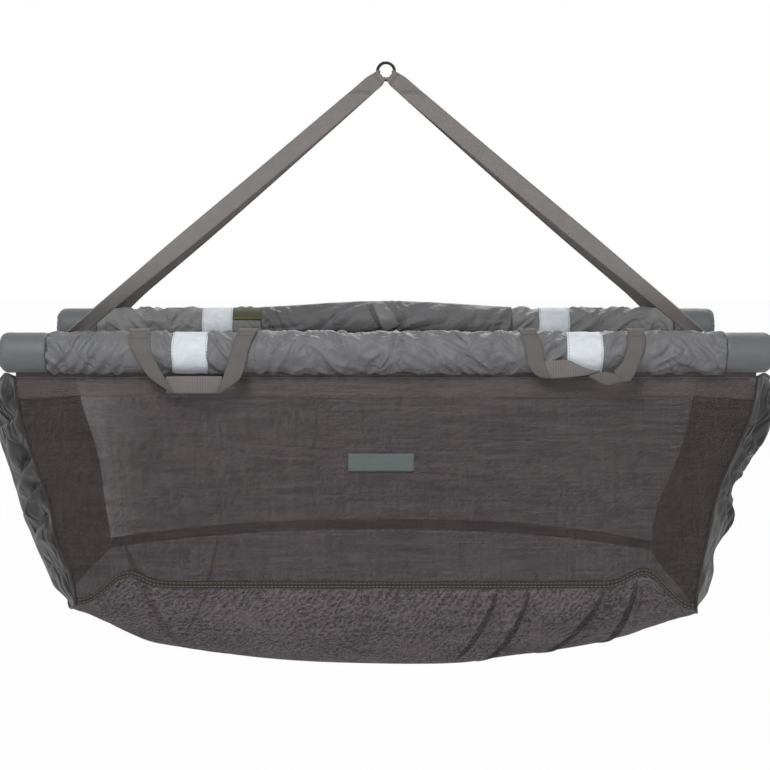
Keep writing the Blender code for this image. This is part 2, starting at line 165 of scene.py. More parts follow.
def crown(across):
    """1 in the middle and 0 at both edges, where across runs from -1 to 1."""
    return 1 - across * across


def bump(distance, width):
    """A smooth hump: 1 at no distance, near 0 past the width."""
    return exp(-(distance / width) ** 2)


def slope(points, k):
    """The slope of a line of points at one of them."""
    before, after = points[max(k - 1, 0)], points[min(k + 1, len(points) - 1)]
    return (after[1] - before[1]) / (after[0] - before[0])


def profile(points, place):
    """A smooth curve through points (place, value), read at a place."""
    place = clamp(place, points[0][0], points[-1][0])
    k = 0
    while place > points[k + 1][0]:
        k += 1
    (start, low), (end, high) = points[k], points[k + 1]
    span = end - start
    t = (place - start) / span
    return (low * (1 + 2 * t) * (1 - t) ** 2 + span * slope(points, k) * t * (1 - t) ** 2
            + high * t * t * (3 - 2 * t) + span * slope(points, k + 1) * t * t * (t - 1))


def wander(x, y, seed):
    """Smooth noise from -1 to 1."""
    return noise.noise(Vector((x, y, seed)))


def facets(x, y, seed):
    """Crumpled cloth, from -0.5 to 0.5: smooth planes between sharp crests, one about every unit."""
    bent = Vector((x + 0.45 * wander(x * 0.6, y * 0.6, seed + 5.3),
                   y + 0.45 * wander(x * 0.6, y * 0.6, seed + 9.1), seed))
    return 0.5 - min(1, abs(noise.noise(bent)) / 0.42)


def folded(phase):
    """Straight-sided folds from -0.5 to 0.5, one about every unit of the phase."""
    return 2 * abs(phase - round(phase)) - 0.5


def steps(count):
    """Shares from 0 to 1, in a number of even steps."""
    return [k / count for k in range(count + 1)]


def line_length(points):
    """The length of a line of points."""
    return sum((b - a).length for a, b in zip(points, points[1:]))


def directions(points):
    """The direction of a line of points at each of them."""
    last = len(points) - 1
    return [(points[min(k + 1, last)] - points[max(k - 1, 0)]).normalized() for k in range(last + 1)]


# Materials


def add_node(tree, kind, settings=None, **inputs):
    """A shader node with its settings and its input values or links."""
    node = tree.nodes.new(kind)
    for name, value in (settings or {}).items():
        setattr(node, name, value)
    wire(node, **inputs)
    return node


def wire(node, **inputs):
    """Put values or links on a node's inputs, each named (Base_Color) or numbered (_0)."""
    for name, value in inputs.items():
        socket = node.inputs[int(name[1:]) if name[1:].isdigit() else name.replace("_", " ")]
        if isinstance(value, bpy.types.NodeSocket):
            node.id_data.links.new(value, socket)
        else:
            socket.default_value = value


def math_node(tree, operation, first, second=0.0):
    """The result of a math node."""
    return add_node(tree, "ShaderNodeMath", {"operation": operation}, _0=first, _1=second).outputs[0]


def weighted(tree, *parts):
    """The sum of several values, each times its own weight."""
    terms = [math_node(tree, "MULTIPLY", value, weight) for value, weight in parts]
    total = terms[0]
    for term in terms[1:]:
        total = math_node(tree, "ADD", total, term)
    return total


def remap(tree, value, low, high, to_low=0, to_high=1):
    """A value stretched from one span to another, and kept in it."""
    return add_node(tree, "ShaderNodeMapRange", Value=value, From_Min=low, From_Max=high,
                    To_Min=to_low, To_Max=to_high).outputs[0]


def tinted(tree, factor, dark, light):
    """A colour between two, by a factor."""
    return add_node(tree, "ShaderNodeMix", {"data_type": "RGBA"}, _0=factor, _6=(*dark, 1),
                    _7=(*light, 1)).outputs[2]


def bands(tree, pitch, direction, **inputs):
    """Even bands of a given pitch over the cloth's own U and V, as a wave from 0 to 1."""
    coords = add_node(tree, "ShaderNodeUVMap", {"uv_map": "weave"}).outputs[0]
    return add_node(tree, "ShaderNodeTexWave", {"bands_direction": direction, "wave_profile": "SIN"},
                    Vector=coords, Scale=2 * pi / (20 * pitch), **inputs).outputs["Fac"]


def object_space(tree):
    """A place in the object's own space."""
    return add_node(tree, "ShaderNodeTexCoord").outputs["Object"]


def solid_noise(tree, scale, detail=3.0, stretch=(1, 1, 1), distortion=0.0):
    """Noise in the object's own space, from 0 to 1."""
    mapping = add_node(tree, "ShaderNodeMapping", Vector=object_space(tree), Scale=stretch)
    return add_node(tree, "ShaderNodeTexNoise", Vector=mapping.outputs[0], Scale=scale,
                    Detail=detail, Distortion=distortion).outputs["Fac"]


def creases(tree, scale, turn, length):
    """Long sharp creases, leaning by a turn about Y: 0 in each crease and up to 0.5 beside it."""
    mapping = add_node(tree, "ShaderNodeMapping", {"vector_type": "TEXTURE"}, Vector=object_space(tree),
                       Rotation=(0, turn, 0), Scale=(1, 1, length))
    bent = add_node(tree, "ShaderNodeTexNoise", Vector=mapping.outputs[0], Scale=scale,
                    Detail=1.0, Distortion=0.5).outputs["Fac"]
    return math_node(tree, "ABSOLUTE", math_node(tree, "SUBTRACT", bent, 0.5))


def bumped(tree, height, distance, strength=1.0, **below):
    """A bump from a height, on top of another one where Normal gives it."""
    return add_node(tree, "ShaderNodeBump", Height=height, Distance=distance, Strength=strength,
                    **below).outputs[0]


def new_material(name, roughness, metallic=0.0, specular=0.5, sheen=0.0):
    """A Principled material, its even values on the shader's own sockets."""
    material = bpy.data.materials.new(name)
    material.use_nodes = True
    wire(material.node_tree.nodes["Principled BSDF"], Roughness=roughness, Metallic=metallic,
         Specular_IOR_Level=specular, Sheen_Weight=sheen)
    return material, material.node_tree


def finished(material, colour, spread, tone, low, high, **inputs):
    """The material, its colour darker and lighter by a tone from low to high, its inputs linked."""
    tree = material.node_tree
    dark = [c * (1 - spread) for c in colour]
    light = [c * (1 + spread) for c in colour]
    shade = tinted(tree, remap(tree, tone, low, high), dark, light)
    wire(tree.nodes["Principled BSDF"], Base_Color=shade, **inputs)
    return material


def nylon_material(name, colour, crumple, roughness, gloss, creased=0.0, crease_scale=34):
    """Satin woven nylon: fine weave, small creases and rubbed, uneven colour."""
    material, tree = new_material(name, roughness, specular=gloss, sheen=0.04)
    patches = solid_noise(tree, 22, 4)
    weave = math_node(tree, "MULTIPLY", bands(tree, 0.0011, "X"), bands(tree, 0.0011, "Y"))
    rough = bumped(tree, solid_noise(tree, 70, 4, distortion=0.8), crumple, 0.8)
    if creased:
        slanted = creases(tree, crease_scale, radians(42), 3.2)
        crossing = creases(tree, crease_scale * 0.9, radians(-40), 2.6)
        height = math_node(tree, "MINIMUM", slanted, math_node(tree, "MULTIPLY", crossing, 1.7))
        rough = bumped(tree, height, creased, Normal=rough)
    tone = weighted(tree, (patches, 0.75), (weave, 0.25))
    return finished(material, colour, 0.14, tone, 0.25, 0.75,
                    Roughness=remap(tree, patches, 0.3, 0.7, roughness - 0.08, roughness + 0.1),
                    Normal=bumped(tree, weave, 0.00012, 0.6, Normal=rough))


# The span of the mesh's tone that shows
MESH_TONES = (0.41, 0.59)


def mesh_material(name, colour, cover, spread, speckle=0.0, opened=0.0):
    """Knitted mesh: threads both ways with see-through gaps, cover being one face's opacity."""
    material, tree = new_material(name, 0.8, specular=0.08, sheen=0.03)
    thread = math_node(tree, "MAXIMUM", bands(tree, 0.0031, "X"), bands(tree, 0.0035, "Y"))
    cloud = solid_noise(tree, 8, 3, stretch=(1, 1, 2.2))
    rows = solid_noise(tree, 290, 1, stretch=(0.05, 1, 1))
    columns = solid_noise(tree, 270, 1, stretch=(1, 1, 0.07))
    grain = weighted(tree, (rows, 0.6), (columns, 0.4))
    if speckle:
        specks = solid_noise(tree, 230, 1, distortion=0.8)
        grain = weighted(tree, (grain, 1 - speckle), (specks, speckle))
    swirl = bands(tree, 0.0062, "DIAGONAL", Distortion=14.0, Detail=2.0, Detail_Scale=0.6)
    tone = weighted(tree, (cloud, 0.16), (grain, 0.74), (swirl, 0.10))
    gaps = remap(tree, thread, 0.3, 0.9, cover - 0.14, cover + 0.10)
    worn = math_node(tree, "SUBTRACT", gaps, remap(tree, tone, *MESH_TONES, -0.05, 0.05))
    if opened:
        left = add_node(tree, "ShaderNodeSeparateXYZ", Vector=object_space(tree)).outputs["X"]
        worn = math_node(tree, "SUBTRACT", worn, remap(tree, left, -0.53, -0.42, opened, 0))
    return finished(material, colour, spread, tone, *MESH_TONES, Alpha=worn,
                    Normal=bumped(tree, thread, 0.0004, 0.8))


def webbing_material(name, colour, rib=0.0017, cross=0.0013):
    """Ribbed webbing: ribs along it, picks across it and a few rubbed places."""
    material, tree = new_material(name, 0.7, specular=0.35, sheen=0.1)
    height = weighted(tree, (bands(tree, rib, "X"), 0.6), (bands(tree, cross, "Y"), 0.4))
    rubbed = solid_noise(tree, 45, 3)
    tone = weighted(tree, (height, 0.45), (rubbed, 0.55))
    return finished(material, colour, 0.2, tone, 0.25, 0.75,
                    Roughness=remap(tree, rubbed, 0.3, 0.7, 0.62, 0.8),
                    Normal=bumped(tree, height, 0.00035, 0.8))


def reflective_material(name, colour):
    """Pale reflective tape with a fine prism pattern and soft creases."""
    material, tree = new_material(name, 0.55, specular=0.2)
    prisms = add_node(tree, "ShaderNodeTexVoronoi", {"feature": "DISTANCE_TO_EDGE"},
                      Vector=object_space(tree), Scale=650.0).outputs["Distance"]
    soft = solid_noise(tree, 60, 2, distortion=1.0)
    rough = bumped(tree, soft, 0.0010, 0.5)
    return finished(material, colour, 0.07, soft, 0.3, 0.7,
                    Roughness=remap(tree, prisms, 0, 0.4, 0.62, 0.50),
                    Normal=bumped(tree, prisms, 0.0001, 0.5, Normal=rough))


def thread_material(name, colour):
    """Sewing thread, a little fuzzy."""
    material, tree = new_material(name, 0.7, specular=0.3, sheen=0.2)
    fuzz = solid_noise(tree, 900, 2)
    return finished(material, colour, 0.2, fuzz, 0.3, 0.7, Normal=bumped(tree, fuzz, 0.0001, 0.5))


def grained_material(name, colour, roughness, scale, depth, metallic=0.0):
    """A solid material with a fine grain, worn a little unevenly."""
    material, tree = new_material(name, roughness, metallic)
    wear = solid_noise(tree, scale / 12, 3)
    return finished(material, colour, 0.15, wear, 0.3, 0.7,
                    Roughness=remap(tree, wear, 0.3, 0.7, roughness - 0.07, roughness + 0.1),
                    Normal=bumped(tree, solid_noise(tree, scale, 4), depth, 0.6))


SLEEVE_NYLON = nylon_material("sleeve_nylon", (0.126, 0.126, 0.130), 0.0010, 0.46, 0.22, 0.011)
# The rear sleeve is the front sleeve's nylon painted lighter: painted light, against the shade the lamps
# leave on it.
REAR_NYLON_PAINTED_LIGHT = nylon_material("rear_sleeve_nylon_painted_light", (0.162, 0.159, 0.161), 0.0010, 0.48, 0.16, 0.010)
CAP_NYLON = nylon_material("cap_nylon", (0.104, 0.110, 0.114), 0.0006, 0.46, 0.26)
FLAP_NYLON = nylon_material("flap_nylon", (0.110, 0.109, 0.112), 0.0008, 0.48, 0.16, 0.010)
# The pull is the flap's cloth rolled up, painted lighter: a painted highlight on the raised roll.
PULL_NYLON_PAINTED_LIGHT = nylon_material("pull_nylon_painted_light", (0.150, 0.149, 0.152), 0.0010, 0.48, 0.20)
END_NYLON = nylon_material("end_panel_nylon", (0.0150, 0.0138, 0.0142), 0.0012, 0.43, 0.25, 0.026, 19)
WALL_MESH = mesh_material("brown_mesh", (0.058, 0.0465, 0.0475), 0.585, 0.25)
# The rear wall is the front wall's mesh painted lighter, for light falling on it from behind: painted
# light.
REAR_MESH_PAINTED_LIGHT = mesh_material("brown_rear_mesh_painted_light", (0.072, 0.0580, 0.0610), 0.62, 0.30, 0.4, opened=0.30)
BASE_MESH = mesh_material("brown_base_mesh", (0.108, 0.0870, 0.0930), 0.60, 0.56, 0.6)
# The doubled top band is the wall's mesh painted lighter, against the shadow the bar casts on it: painted
# light.
BAND_MESH_PAINTED_LIGHT = mesh_material("brown_top_band_mesh_painted_light", (0.116, 0.096, 0.096), 0.46, 0.20)
# The tucks' mesh is painted darker than the base's: painted shade inside the folds.
TUCK_MESH_PAINTED_SHADE = mesh_material("folded_mesh_painted_shade", (0.064, 0.052, 0.056), 0.60, 0.4)
HEM_WEBBING = webbing_material("hem_binding", (0.075, 0.059, 0.057), 0.0012, 0.0012)
BINDING = webbing_material("brown_binding", (0.020, 0.015, 0.014), 0.0012, 0.0012)
PIPING = webbing_material("piping_binding", (0.085, 0.068, 0.065), 0.0012, 0.0010)
STRAP_WEBBING = webbing_material("strap_webbing", (0.146, 0.134, 0.129))
HANDLE_WEBBING = webbing_material("handle_webbing", (0.092, 0.084, 0.077))
GRIP_WEBBING = webbing_material("grip_webbing", (0.122, 0.110, 0.102), 0.0026, 0.0014)
REFLECTIVE = reflective_material("reflective_tape", (0.51, 0.535, 0.57))
OLIVE = webbing_material("olive_tag_weave", (0.060, 0.060, 0.030), 0.0010, 0.0010)
PATCH = webbing_material("bare_patch_weave", (0.090, 0.108, 0.106), 0.0008, 0.0008)
PALE_THREAD = thread_material("pale_thread", (0.17, 0.14, 0.115))
DARK_THREAD = thread_material("dark_thread", (0.035, 0.030, 0.030))
GREY_THREAD = thread_material("grey_thread", (0.12, 0.12, 0.125))
YELLOW_THREAD = thread_material("yellow_thread", (0.30, 0.28, 0.07))
BLACK_METAL = grained_material("black_coated_steel", (0.014, 0.014, 0.015), 0.32, 900, 0.00006, 0.6)
FOAM = grained_material("closed_cell_foam", (0.040, 0.040, 0.042), 0.9, 700, 0.0004)
FIBRE = grained_material("glass_fibre", (0.300, 0.280, 0.200), 0.4, 500, 0.0001)


# Building blocks


def new_mesh(name, verts, faces, uvs=()):
    """A mesh, with a weave map where each face corner's place on the cut cloth is given."""
    mesh = bpy.data.meshes.new(name)
    mesh.from_pydata([tuple(v) for v in verts], [], faces)
    if uvs:
        weave = mesh.uv_layers.new(name="weave")
        for corner, uv in zip(weave.data, uvs):
            corner.uv = uv
    return mesh


def finish_piece(name, mesh, materials, thickness=0.0):
    """An object with its materials, smooth faces and, for cloth, its thickness."""
    for material in materials:
        mesh.materials.append(material)
    mesh.shade_smooth()
    thing = bpy.data.objects.new(name, mesh)
    bpy.context.scene.collection.objects.link(thing)
    if thickness:
        solid = thing.modifiers.new("thickness", "SOLIDIFY")
        solid.thickness = thickness
        solid.offset = 0
    return thing


def grid_piece(name, columns, rows, place, cut, material, thickness=0.0, closed=False):
    """A cloth piece laid out by place(u, v), with its cut size in metres kept for its weave."""
    wide = columns if closed else columns + 1
    verts = [place(i / columns, j / rows) for j in range(rows + 1) for i in range(wide)]
    faces, uvs = [], []
    for j in range(rows):
        for i in range(columns):
            after = (i + 1) % wide
            faces.append((j * wide + i, j * wide + after, (j + 1) * wide + after, (j + 1) * wide + i))
            uvs += [(a / columns * cut[0], b / rows * cut[1])
                    for a, b in ((i, j), (i + 1, j), (i + 1, j + 1), (i, j + 1))]
    return finish_piece(name, new_mesh(name, verts, faces, uvs), [material], thickness)


def joined(name, pieces):
    """Several cloth pieces made into one object, their modifiers applied."""
    verts, faces, uvs, which = [], [], [], []
    graph = bpy.context.evaluated_depsgraph_get()
    bpy.context.view_layer.update()
    for piece in pieces:
        mesh = bpy.data.meshes.new_from_object(piece.evaluated_get(graph))
        start = len(verts)
        verts += [tuple(v.co) for v in mesh.vertices]
        weave = mesh.uv_layers["weave"].data
        for face in mesh.polygons:
            faces.append([start + i for i in face.vertices])
            which.append(piece.data.materials[0])
            uvs += [tuple(weave[loop].uv) for loop in face.loop_indices]
    for piece in pieces:
        bpy.data.objects.remove(piece)
    materials = list(dict.fromkeys(which))
    thing = finish_piece(name, new_mesh(name, verts, faces, uvs), materials)
    for face, material in zip(thing.data.polygons, which):
        face.material_index = materials.index(material)
    return thing


def stitches(name, rows, material, length=0.0032, gap=0.0016, radius=0.00035):
    """Rows of sewing stitches, each a short plump thread lying along its row of points."""
    verts, faces = [], []
    for row in rows:
        points = [Vector(p) for p in row]
        travelled = [0.0]
        for a, b in zip(points, points[1:]):
            travelled.append(travelled[-1] + (b - a).length)

        def along(distance):
            for k in range(len(points) - 1):
                if distance <= travelled[k + 1]:
                    share = (distance - travelled[k]) / max(travelled[k + 1] - travelled[k], 1e-9)
                    return points[k].lerp(points[k + 1], share)
            return points[-1]

        distance = gap
        while distance + length < travelled[-1]:
            start, end = along(distance), along(distance + length)
            run = (end - start).normalized()
            side = run.cross(Vector((0.3, 0.2, 1))).normalized() * radius
            lift = run.cross(side).normalized() * radius
            base = len(verts)
            near, far = start.lerp(end, 0.2), start.lerp(end, 0.8)
            ring = (side, lift, -side, -lift)
            verts += [start] + [near + r for r in ring] + [far + r for r in ring] + [end]
            for k in range(4):
                after = (k + 1) % 4
                faces.append((base, base + 1 + after, base + 1 + k))
                faces.append((base + 1 + k, base + 1 + after, base + 5 + after, base + 5 + k))
                faces.append((base + 9, base + 5 + k, base + 5 + after))
            distance += length + gap
    return finish_piece(name, new_mesh(name, verts, faces), [material])


def tube(name, rings, around, step, material):
    """A closed tube through rings of points, its weave sized around it and from ring to ring."""
    sides = len(rings[0])
    last = (len(rings) - 1) * sides
    faces = []
    for start in range(0, last, sides):
        for s in range(sides):
            after = (s + 1) % sides
            faces.append((start + s, start + after, start + sides + after, start + sides + s))
    faces += [tuple(range(sides))[::-1], tuple(range(last, last + sides))]
    corners = [divmod(corner, sides) for face in faces for corner in face]
    uvs = [(around * turn / sides, ring * step) for ring, turn in corners]
    verts = [point for ring in rings for point in ring]
    return finish_piece(name, new_mesh(name, verts, faces, uvs), [material])


def cord_tube(name, points, radius, material, sides=8):
    """A thin round cord or piping along points, closed at both ends."""
    points = [Vector(p) for p in points]
    turns = [2 * pi * s / sides for s in range(sides)]
    rings = []
    for point, run in zip(points, directions(points)):
        side = run.cross(Vector((0.1, 0.2, 1))).normalized()
        lift = run.cross(side).normalized()
        rings.append([point + radius * (side * cos(turn) + lift * sin(turn)) for turn in turns])
    return tube(name, rings, 2 * pi * radius, 0.004, material)


def dress(piece, body, slot, *nodes):
    """A piece on its body, with the CAD nodes it stands for hidden. Its slot is not used."""
    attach(piece, body)
    if nodes:
        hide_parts(*nodes)
    return piece


# Side bars


def bar_point(side, x, radius, turn):
    """A point round a bar: turn is measured from its crest, towards the other bar."""
    return Vector((x, side * (BAR_Y - radius * sin(turn)), BAR_Z + radius * cos(turn)))


def bar_ring(side, x, radius, count):
    """A row of points once round a bar."""
    return [bar_point(side, x, radius, 2 * pi * share) for share in steps(count)]


# Where the handles' legs hold the sleeve down, and how far in and out its folds may stand
LEG_PLACES = (0.211, 0.372)
SLACK_LIMITS = (-0.0012, 0.0038)

# The part of the rear sleeve that lies flat under the tag and the flap: places and turns
COVERED_PLACES = (tag_low.x - 0.004, flap_high.x + 0.004)
COVERED_TURNS = (-0.1, radians(112))


def sewn_down(side, x, turn):
    """How firmly the sleeve is held flat at a place on it, from 0 to 1."""
    far = abs(x)
    held = eased((BAND_HALF + 0.008 - abs(far - BAND_MIDDLE)) / 0.008)
    seat = STRAP_SEAT_TURNS["front" if side < 0 else "rear"]
    tail = eased((STRAP_TAIL / 2 + 0.018 - abs(far - STRAP_PLACE - STRAP_TAIL / 2)) / 0.012)
    held = max(held, tail * eased((0.95 - abs(turn - seat)) / 0.35))
    for place in LEG_PLACES:
        held = max(held, eased((0.023 - abs(far - place)) / 0.010) * eased((0.3 - turn) / 0.3))
    return held


def sleeve_slack(side, x, turn):
    """How far the sleeve's cloth stands in or out from the bar's round, in metres."""
    seed = 3.1 if side < 0 else 17.7
    arc = turn * SLEEVE_RADIUS
    left_end = bump(x + 0.435, 0.055) if side < 0 else 0
    lean = eased(0.5 + 3.0 * wander(x * 9, arc * 6, seed + 2) - 1.2 * left_end)
    rising = facets((x + arc) * 40, (x - arc) * 12, seed + 9)
    falling = facets((x - arc) * 36, (x + arc) * 13, seed + 21)
    small = facets((x + 0.3 * arc) * 95, (arc - 0.4 * x) * 60, seed + 30)
    crest = bump(turn + 0.2, 0.45) * facets(x * 85, arc * 30, seed + 35)
    under = bump(turn + 1.75, 0.5) * facets(x * 75, arc * 26, seed + 40)
    slack = 0.0008 + 0.0066 * between(falling, rising, lean) + 0.0008 * small
    slack += 0.0022 * crest + 0.0014 * under
    pulls = folded((x - 0.8 * arc) * 44 + 0.5 * wander(x * 20, arc * 12, seed + 44))
    slack = between(slack, 0.0006 + 0.0052 * pulls + 0.0010 * small, left_end * (turn < 0.4))
    end = clamp((SLEEVE_HALF - abs(x)) / 0.010)
    held = sewn_down(side, x, turn)
    slack = min(clamp(slack, *SLACK_LIMITS) * between(1, 0.25, held), SLACK_LIMITS[1] * (1 - held))
    return slack - 0.0016 * (1 - end) ** 2


def add_sleeve(side_name, side):
    """The padded nylon sleeve of one bar, drawn into small folds where it is sewn."""
    def place(u, v):
        x = between(-SLEEVE_HALF, SLEEVE_HALF, v)
        turn = between(-pi, pi, u)
        slack = sleeve_slack(side, x, turn)
        if side > 0 and within(x, COVERED_PLACES) and within(turn, COVERED_TURNS):
            slack = min(slack, 0)
        return bar_point(side, x, SLEEVE_RADIUS - SLEEVE_CLOTH / 2 + slack, turn)

    # The rear sleeve takes the nylon painted lighter with painted light.
    skin = grid_piece(f"{side_name}_bar_sleeve", 96, 520, place, (SLEEVE_ROUND, 2 * SLEEVE_HALF),
                      SLEEVE_NYLON if side < 0 else REAR_NYLON_PAINTED_LIGHT, SLEEVE_CLOTH, closed=True)
    dress(skin, f"{side_name}_side", "nylon", f"{side_name}_sleeve")


# The end caps: the round of their closed ends, and how far these sink in the middle
CAP_CORNER = 0.013
CAP_SINK = 0.002


def add_bar_end(side_name, side, end_name, end):
    """One smooth nylon end cap, gathered a little at its closed end."""
    name = f"{side_name}_{end_name}"
    length = BAR_HALF - SLEEVE_HALF
    arc = CAP_CORNER * pi / 2
    face = SLEEVE_RADIUS - CAP_CORNER
    seed = 50 + side * 3 + end

    def place(u, v):
        turn = between(-pi, pi, u)
        run = v * (length - CAP_CORNER + arc + face)
        past = run - length + CAP_CORNER
        if past < 0:
            x = SLEEVE_HALF + 0.0004 + run
            radius = SLEEVE_RADIUS - 0.0018 * (1 - clamp(run / 0.006)) ** 2
        elif past < arc:
            x = BAR_HALF - CAP_CORNER + CAP_CORNER * sin(past / CAP_CORNER)
            radius = face + CAP_CORNER * cos(past / CAP_CORNER)
        else:
            x = BAR_HALF
            radius = max(face - (past - arc), 0)
        radius += 0.0010 * wander(turn * 1.6, x * 40, seed) * clamp(run / length)
        pleats = facets(turn * 2.2, x * 30, seed + 4)
        x -= 0.0016 * pleats * eased(past / CAP_CORNER) * clamp(radius / 0.01)
        x -= CAP_SINK * eased(1 - radius / face) if run > length else 0
        return bar_point(side, end * x, max(radius - SLEEVE_CLOTH / 2, 0), turn)

    skin = grid_piece(f"{name}_bar_end", 64, 46, place, (SLEEVE_ROUND, length + SLEEVE_RADIUS),
                      CAP_NYLON, SLEEVE_CLOTH, closed=True)
    dress(skin, f"{side_name}_side", "nylon", f"{name}_end_cap")
    rows = [bar_ring(side, end * (SLEEVE_HALF + past), SLEEVE_RADIUS - 0.0004, 40) for past in CAP_ROWS]
    dress(stitches(f"{name}_end_stitches", rows, GREY_THREAD), f"{side_name}_side", "nylon")


# How far a band is sewn on off its mirrored place
BAND_SHIFTS = {("front", "left"): 0.004}


def add_band(side_name, side, end_name, end):
    """A reflective tape band sewn round the bar, following the sleeve's small hollows."""
    name = f"{side_name}_{end_name}"
    middle = end * BAND_MIDDLE + BAND_SHIFTS.get((side_name, end_name), 0)
    seed = 70 + side + 3 * end

    def place(u, v):
        turn = between(-pi, pi, u)
        x = middle + between(-BAND_HALF, BAND_HALF, v)
        x += 0.0012 * wander(turn * 1.3, v * 1.5, seed)
        across = 2 * v - 1
        ripple = 0.0007 * wander(turn * 2.0, x * 60, seed + 1)
        ripple += 0.0004 * wander(turn * 5, x * 90, seed + 2)
        edge = 0.0004 * eased(abs(across) * 6 - 5)
        return bar_point(side, x, SLEEVE_RADIUS + 0.0008 + ripple * (1 - across ** 4) - edge, turn)

    band = grid_piece(f"{name}_reflective_band", 90, 24, place, (SLEEVE_ROUND, 2 * BAND_HALF),
                      REFLECTIVE, BAND_CLOTH, closed=True)
    dress(band, f"{side_name}_side", "reflective", f"{name}_band")
    reach = BAND_HALF - BAND_INSET
    rows = [bar_ring(side, x, SLEEVE_RADIUS + 0.0013, 48) for x in (middle - reach, middle + reach)]
    dress(stitches(f"{name}_band_stitches", rows, GREY_THREAD), f"{side_name}_side", "reflective")


# Harness


def eye_cut(across):
    """How far along the strap its level cut under the ring lies, at a place across its width."""
    return (EYE_DROP - across * cos(STRAP_FALL)) / sin(STRAP_FALL)


def strap_plane_point(end, along, across, y):
    """A point of the webbing in the plane of the ring, from distances along and across it."""
    x = along * cos(STRAP_FALL) - across * sin(STRAP_FALL)
    z = -along * sin(STRAP_FALL) - across * cos(STRAP_FALL)
    return Vector((end * x, y, z))


def eye_place(end):
    """Layout of the webbing eye: down from the rear cut, round the ring's wire, up to the front."""
    leg_y = (WEBBING_THICKNESS + EYE_LEG_GAP) / 2
    wrap = WIRE_RADIUS + EYE_CLEARANCE / 2 + WEBBING_THICKNESS / 2
    arc_start = (1 - EYE_ARC_SHARE) / 2

    def place(u, v):
        spread = between(-EYE_HALF_TURN, EYE_HALF_TURN, v)
        from_end = min(u, 1 - u)
        pleat = 0.0005 * sin(5 * pi * v)
        if from_end >= arc_start:
            turn = pi * (u - arc_start) / EYE_ARC_SHARE
            reach = RING_RADIUS - (wrap + pleat) * sin(turn)
            return strap_plane_point(end, reach * cos(spread), reach * sin(spread), wrap * cos(turn))
        facing = 1 if u < 0.5 else -1
        share = 1 - from_end / arc_start
        flare = min(1, share / EYE_FLARE_SHARE)
        level = between(-WEBBING_WIDTH / 2, WEBBING_WIDTH / 2, v)
        across = between(RING_RADIUS * sin(spread), level, eased(flare))
        along = between(RING_RADIUS * cos(spread), eye_cut(level), share)
        neck = clamp((EYE_NECK - along) / (EYE_NECK - RING_RADIUS))
        return strap_plane_point(end, along, across, facing * between(leg_y, wrap, eased(neck)))

    return place


def strap_place(side_name, end):
    """Layout of one strap: straight from its eye, turning to lie on the bar, then sewn along it."""
    side = SIDES[side_name]
    seat_turn = STRAP_SEAT_TURNS[side_name]
    downhill = 1 if seat_turn > 0 else -1
    top_y = side * (WEBBING_THICKNESS + EYE_LEG_GAP) / 2
    seat = bar_point(side, end * STRAP_PLACE, STRAP_RADIUS, seat_turn)
    top_middle = strap_plane_point(end, eye_cut(0), 0, top_y)
    run = (seat - top_middle).normalized()
    seat_normal = Vector((0, -side * sin(seat_turn), cos(seat_turn)))
    cross = seat_normal.cross(run).normalized()
    if cross.z > 0:
        cross = -cross

    def place(u, v):
        across = between(-WEBBING_WIDTH / 2, WEBBING_WIDTH / 2, u)
        top = strap_plane_point(end, eye_cut(across), across, top_y)
        flat_end = seat + cross * across
        seat_x = end * STRAP_PLACE + cross.x * across
        round_turn = seat_turn + downhill * across / STRAP_RADIUS
        round_end = bar_point(side, seat_x, STRAP_RADIUS, round_turn)
        if v <= STRAP_FREE_SHARE:
            share = v / STRAP_FREE_SHARE
            twist = eased((share - 1 + STRAP_TWIST_SHARE) / STRAP_TWIST_SHARE)
            settle = eased((share - 1 + STRAP_SETTLE_SHARE) / STRAP_SETTLE_SHARE)
            middle = top_middle + (seat - top_middle) * share
            middle.z -= 0.0015 * sin(pi * share)
            middle.y += side * 0.0012 * sin(pi * share) * (1 + 0.5 * wander(share * 6, end, side))
            offset = (top - top_middle) * (1 - twist) + (flat_end - seat) * twist
            return middle + offset + (round_end - flat_end) * settle
        sewn = (v - STRAP_FREE_SHARE) / (1 - STRAP_FREE_SHARE)
        tail_x = end * (STRAP_PLACE + STRAP_TAIL)
        return Vector((between(seat_x, tail_x, sewn), round_end.y, round_end.z))

    return place


def add_eye(end_name, end):
    """One webbing eye round the ring, with two rows of stitches through each of its legs."""
    place = eye_place(end)
    length = line_length([place(u, 0.5) for u in steps(80)])
    eye = grid_piece(f"{end_name}_webbing_eye", 80, 16, place, (length, WEBBING_WIDTH),
                     STRAP_WEBBING, WEBBING_THICKNESS)
    turn_weave(eye)
    dress(eye, "hanger", "webbing", f"{end_name}_strap_eye")
    rows = []
    for facing, u in ((1, 0.045), (-1, 0.955)):
        lift = Vector((0, facing * STITCH_LIFT, 0))
        for shift in (0, 0.02):
            rows.append([place(u - shift * facing, 0.12 + 0.76 * share) + lift for share in steps(8)])
    tacks = stitches(f"{end_name}_eye_stitches", rows, DARK_THREAD, 0.0022, 0.0011)
    dress(tacks, "hanger", "webbing")


def add_strap(side_name, side, end_name, end):
    """One strap down to its bar, its tail sewn on along both edges."""
    name = f"{side_name}_{end_name}"
    place = strap_place(side_name, end)
    length = line_length([place(0.5, v) for v in steps(60)])
    strap = grid_piece(f"{name}_webbing_strap", 12, 110, place, (WEBBING_WIDTH, length),
                       STRAP_WEBBING, WEBBING_THICKNESS)
    dress(strap, f"{side_name}_side", "webbing", f"{name}_strap")
    sewn = [v for v in steps(200)[:-1] if v > STRAP_FREE_SHARE]
    lift = seat_lift(side, side_name)
    rows = [[place(u, v) + lift for v in sewn] for u in WEBBING_ROWS]
    dress(stitches(f"{name}_strap_stitches", rows, DARK_THREAD), f"{side_name}_side", "webbing")


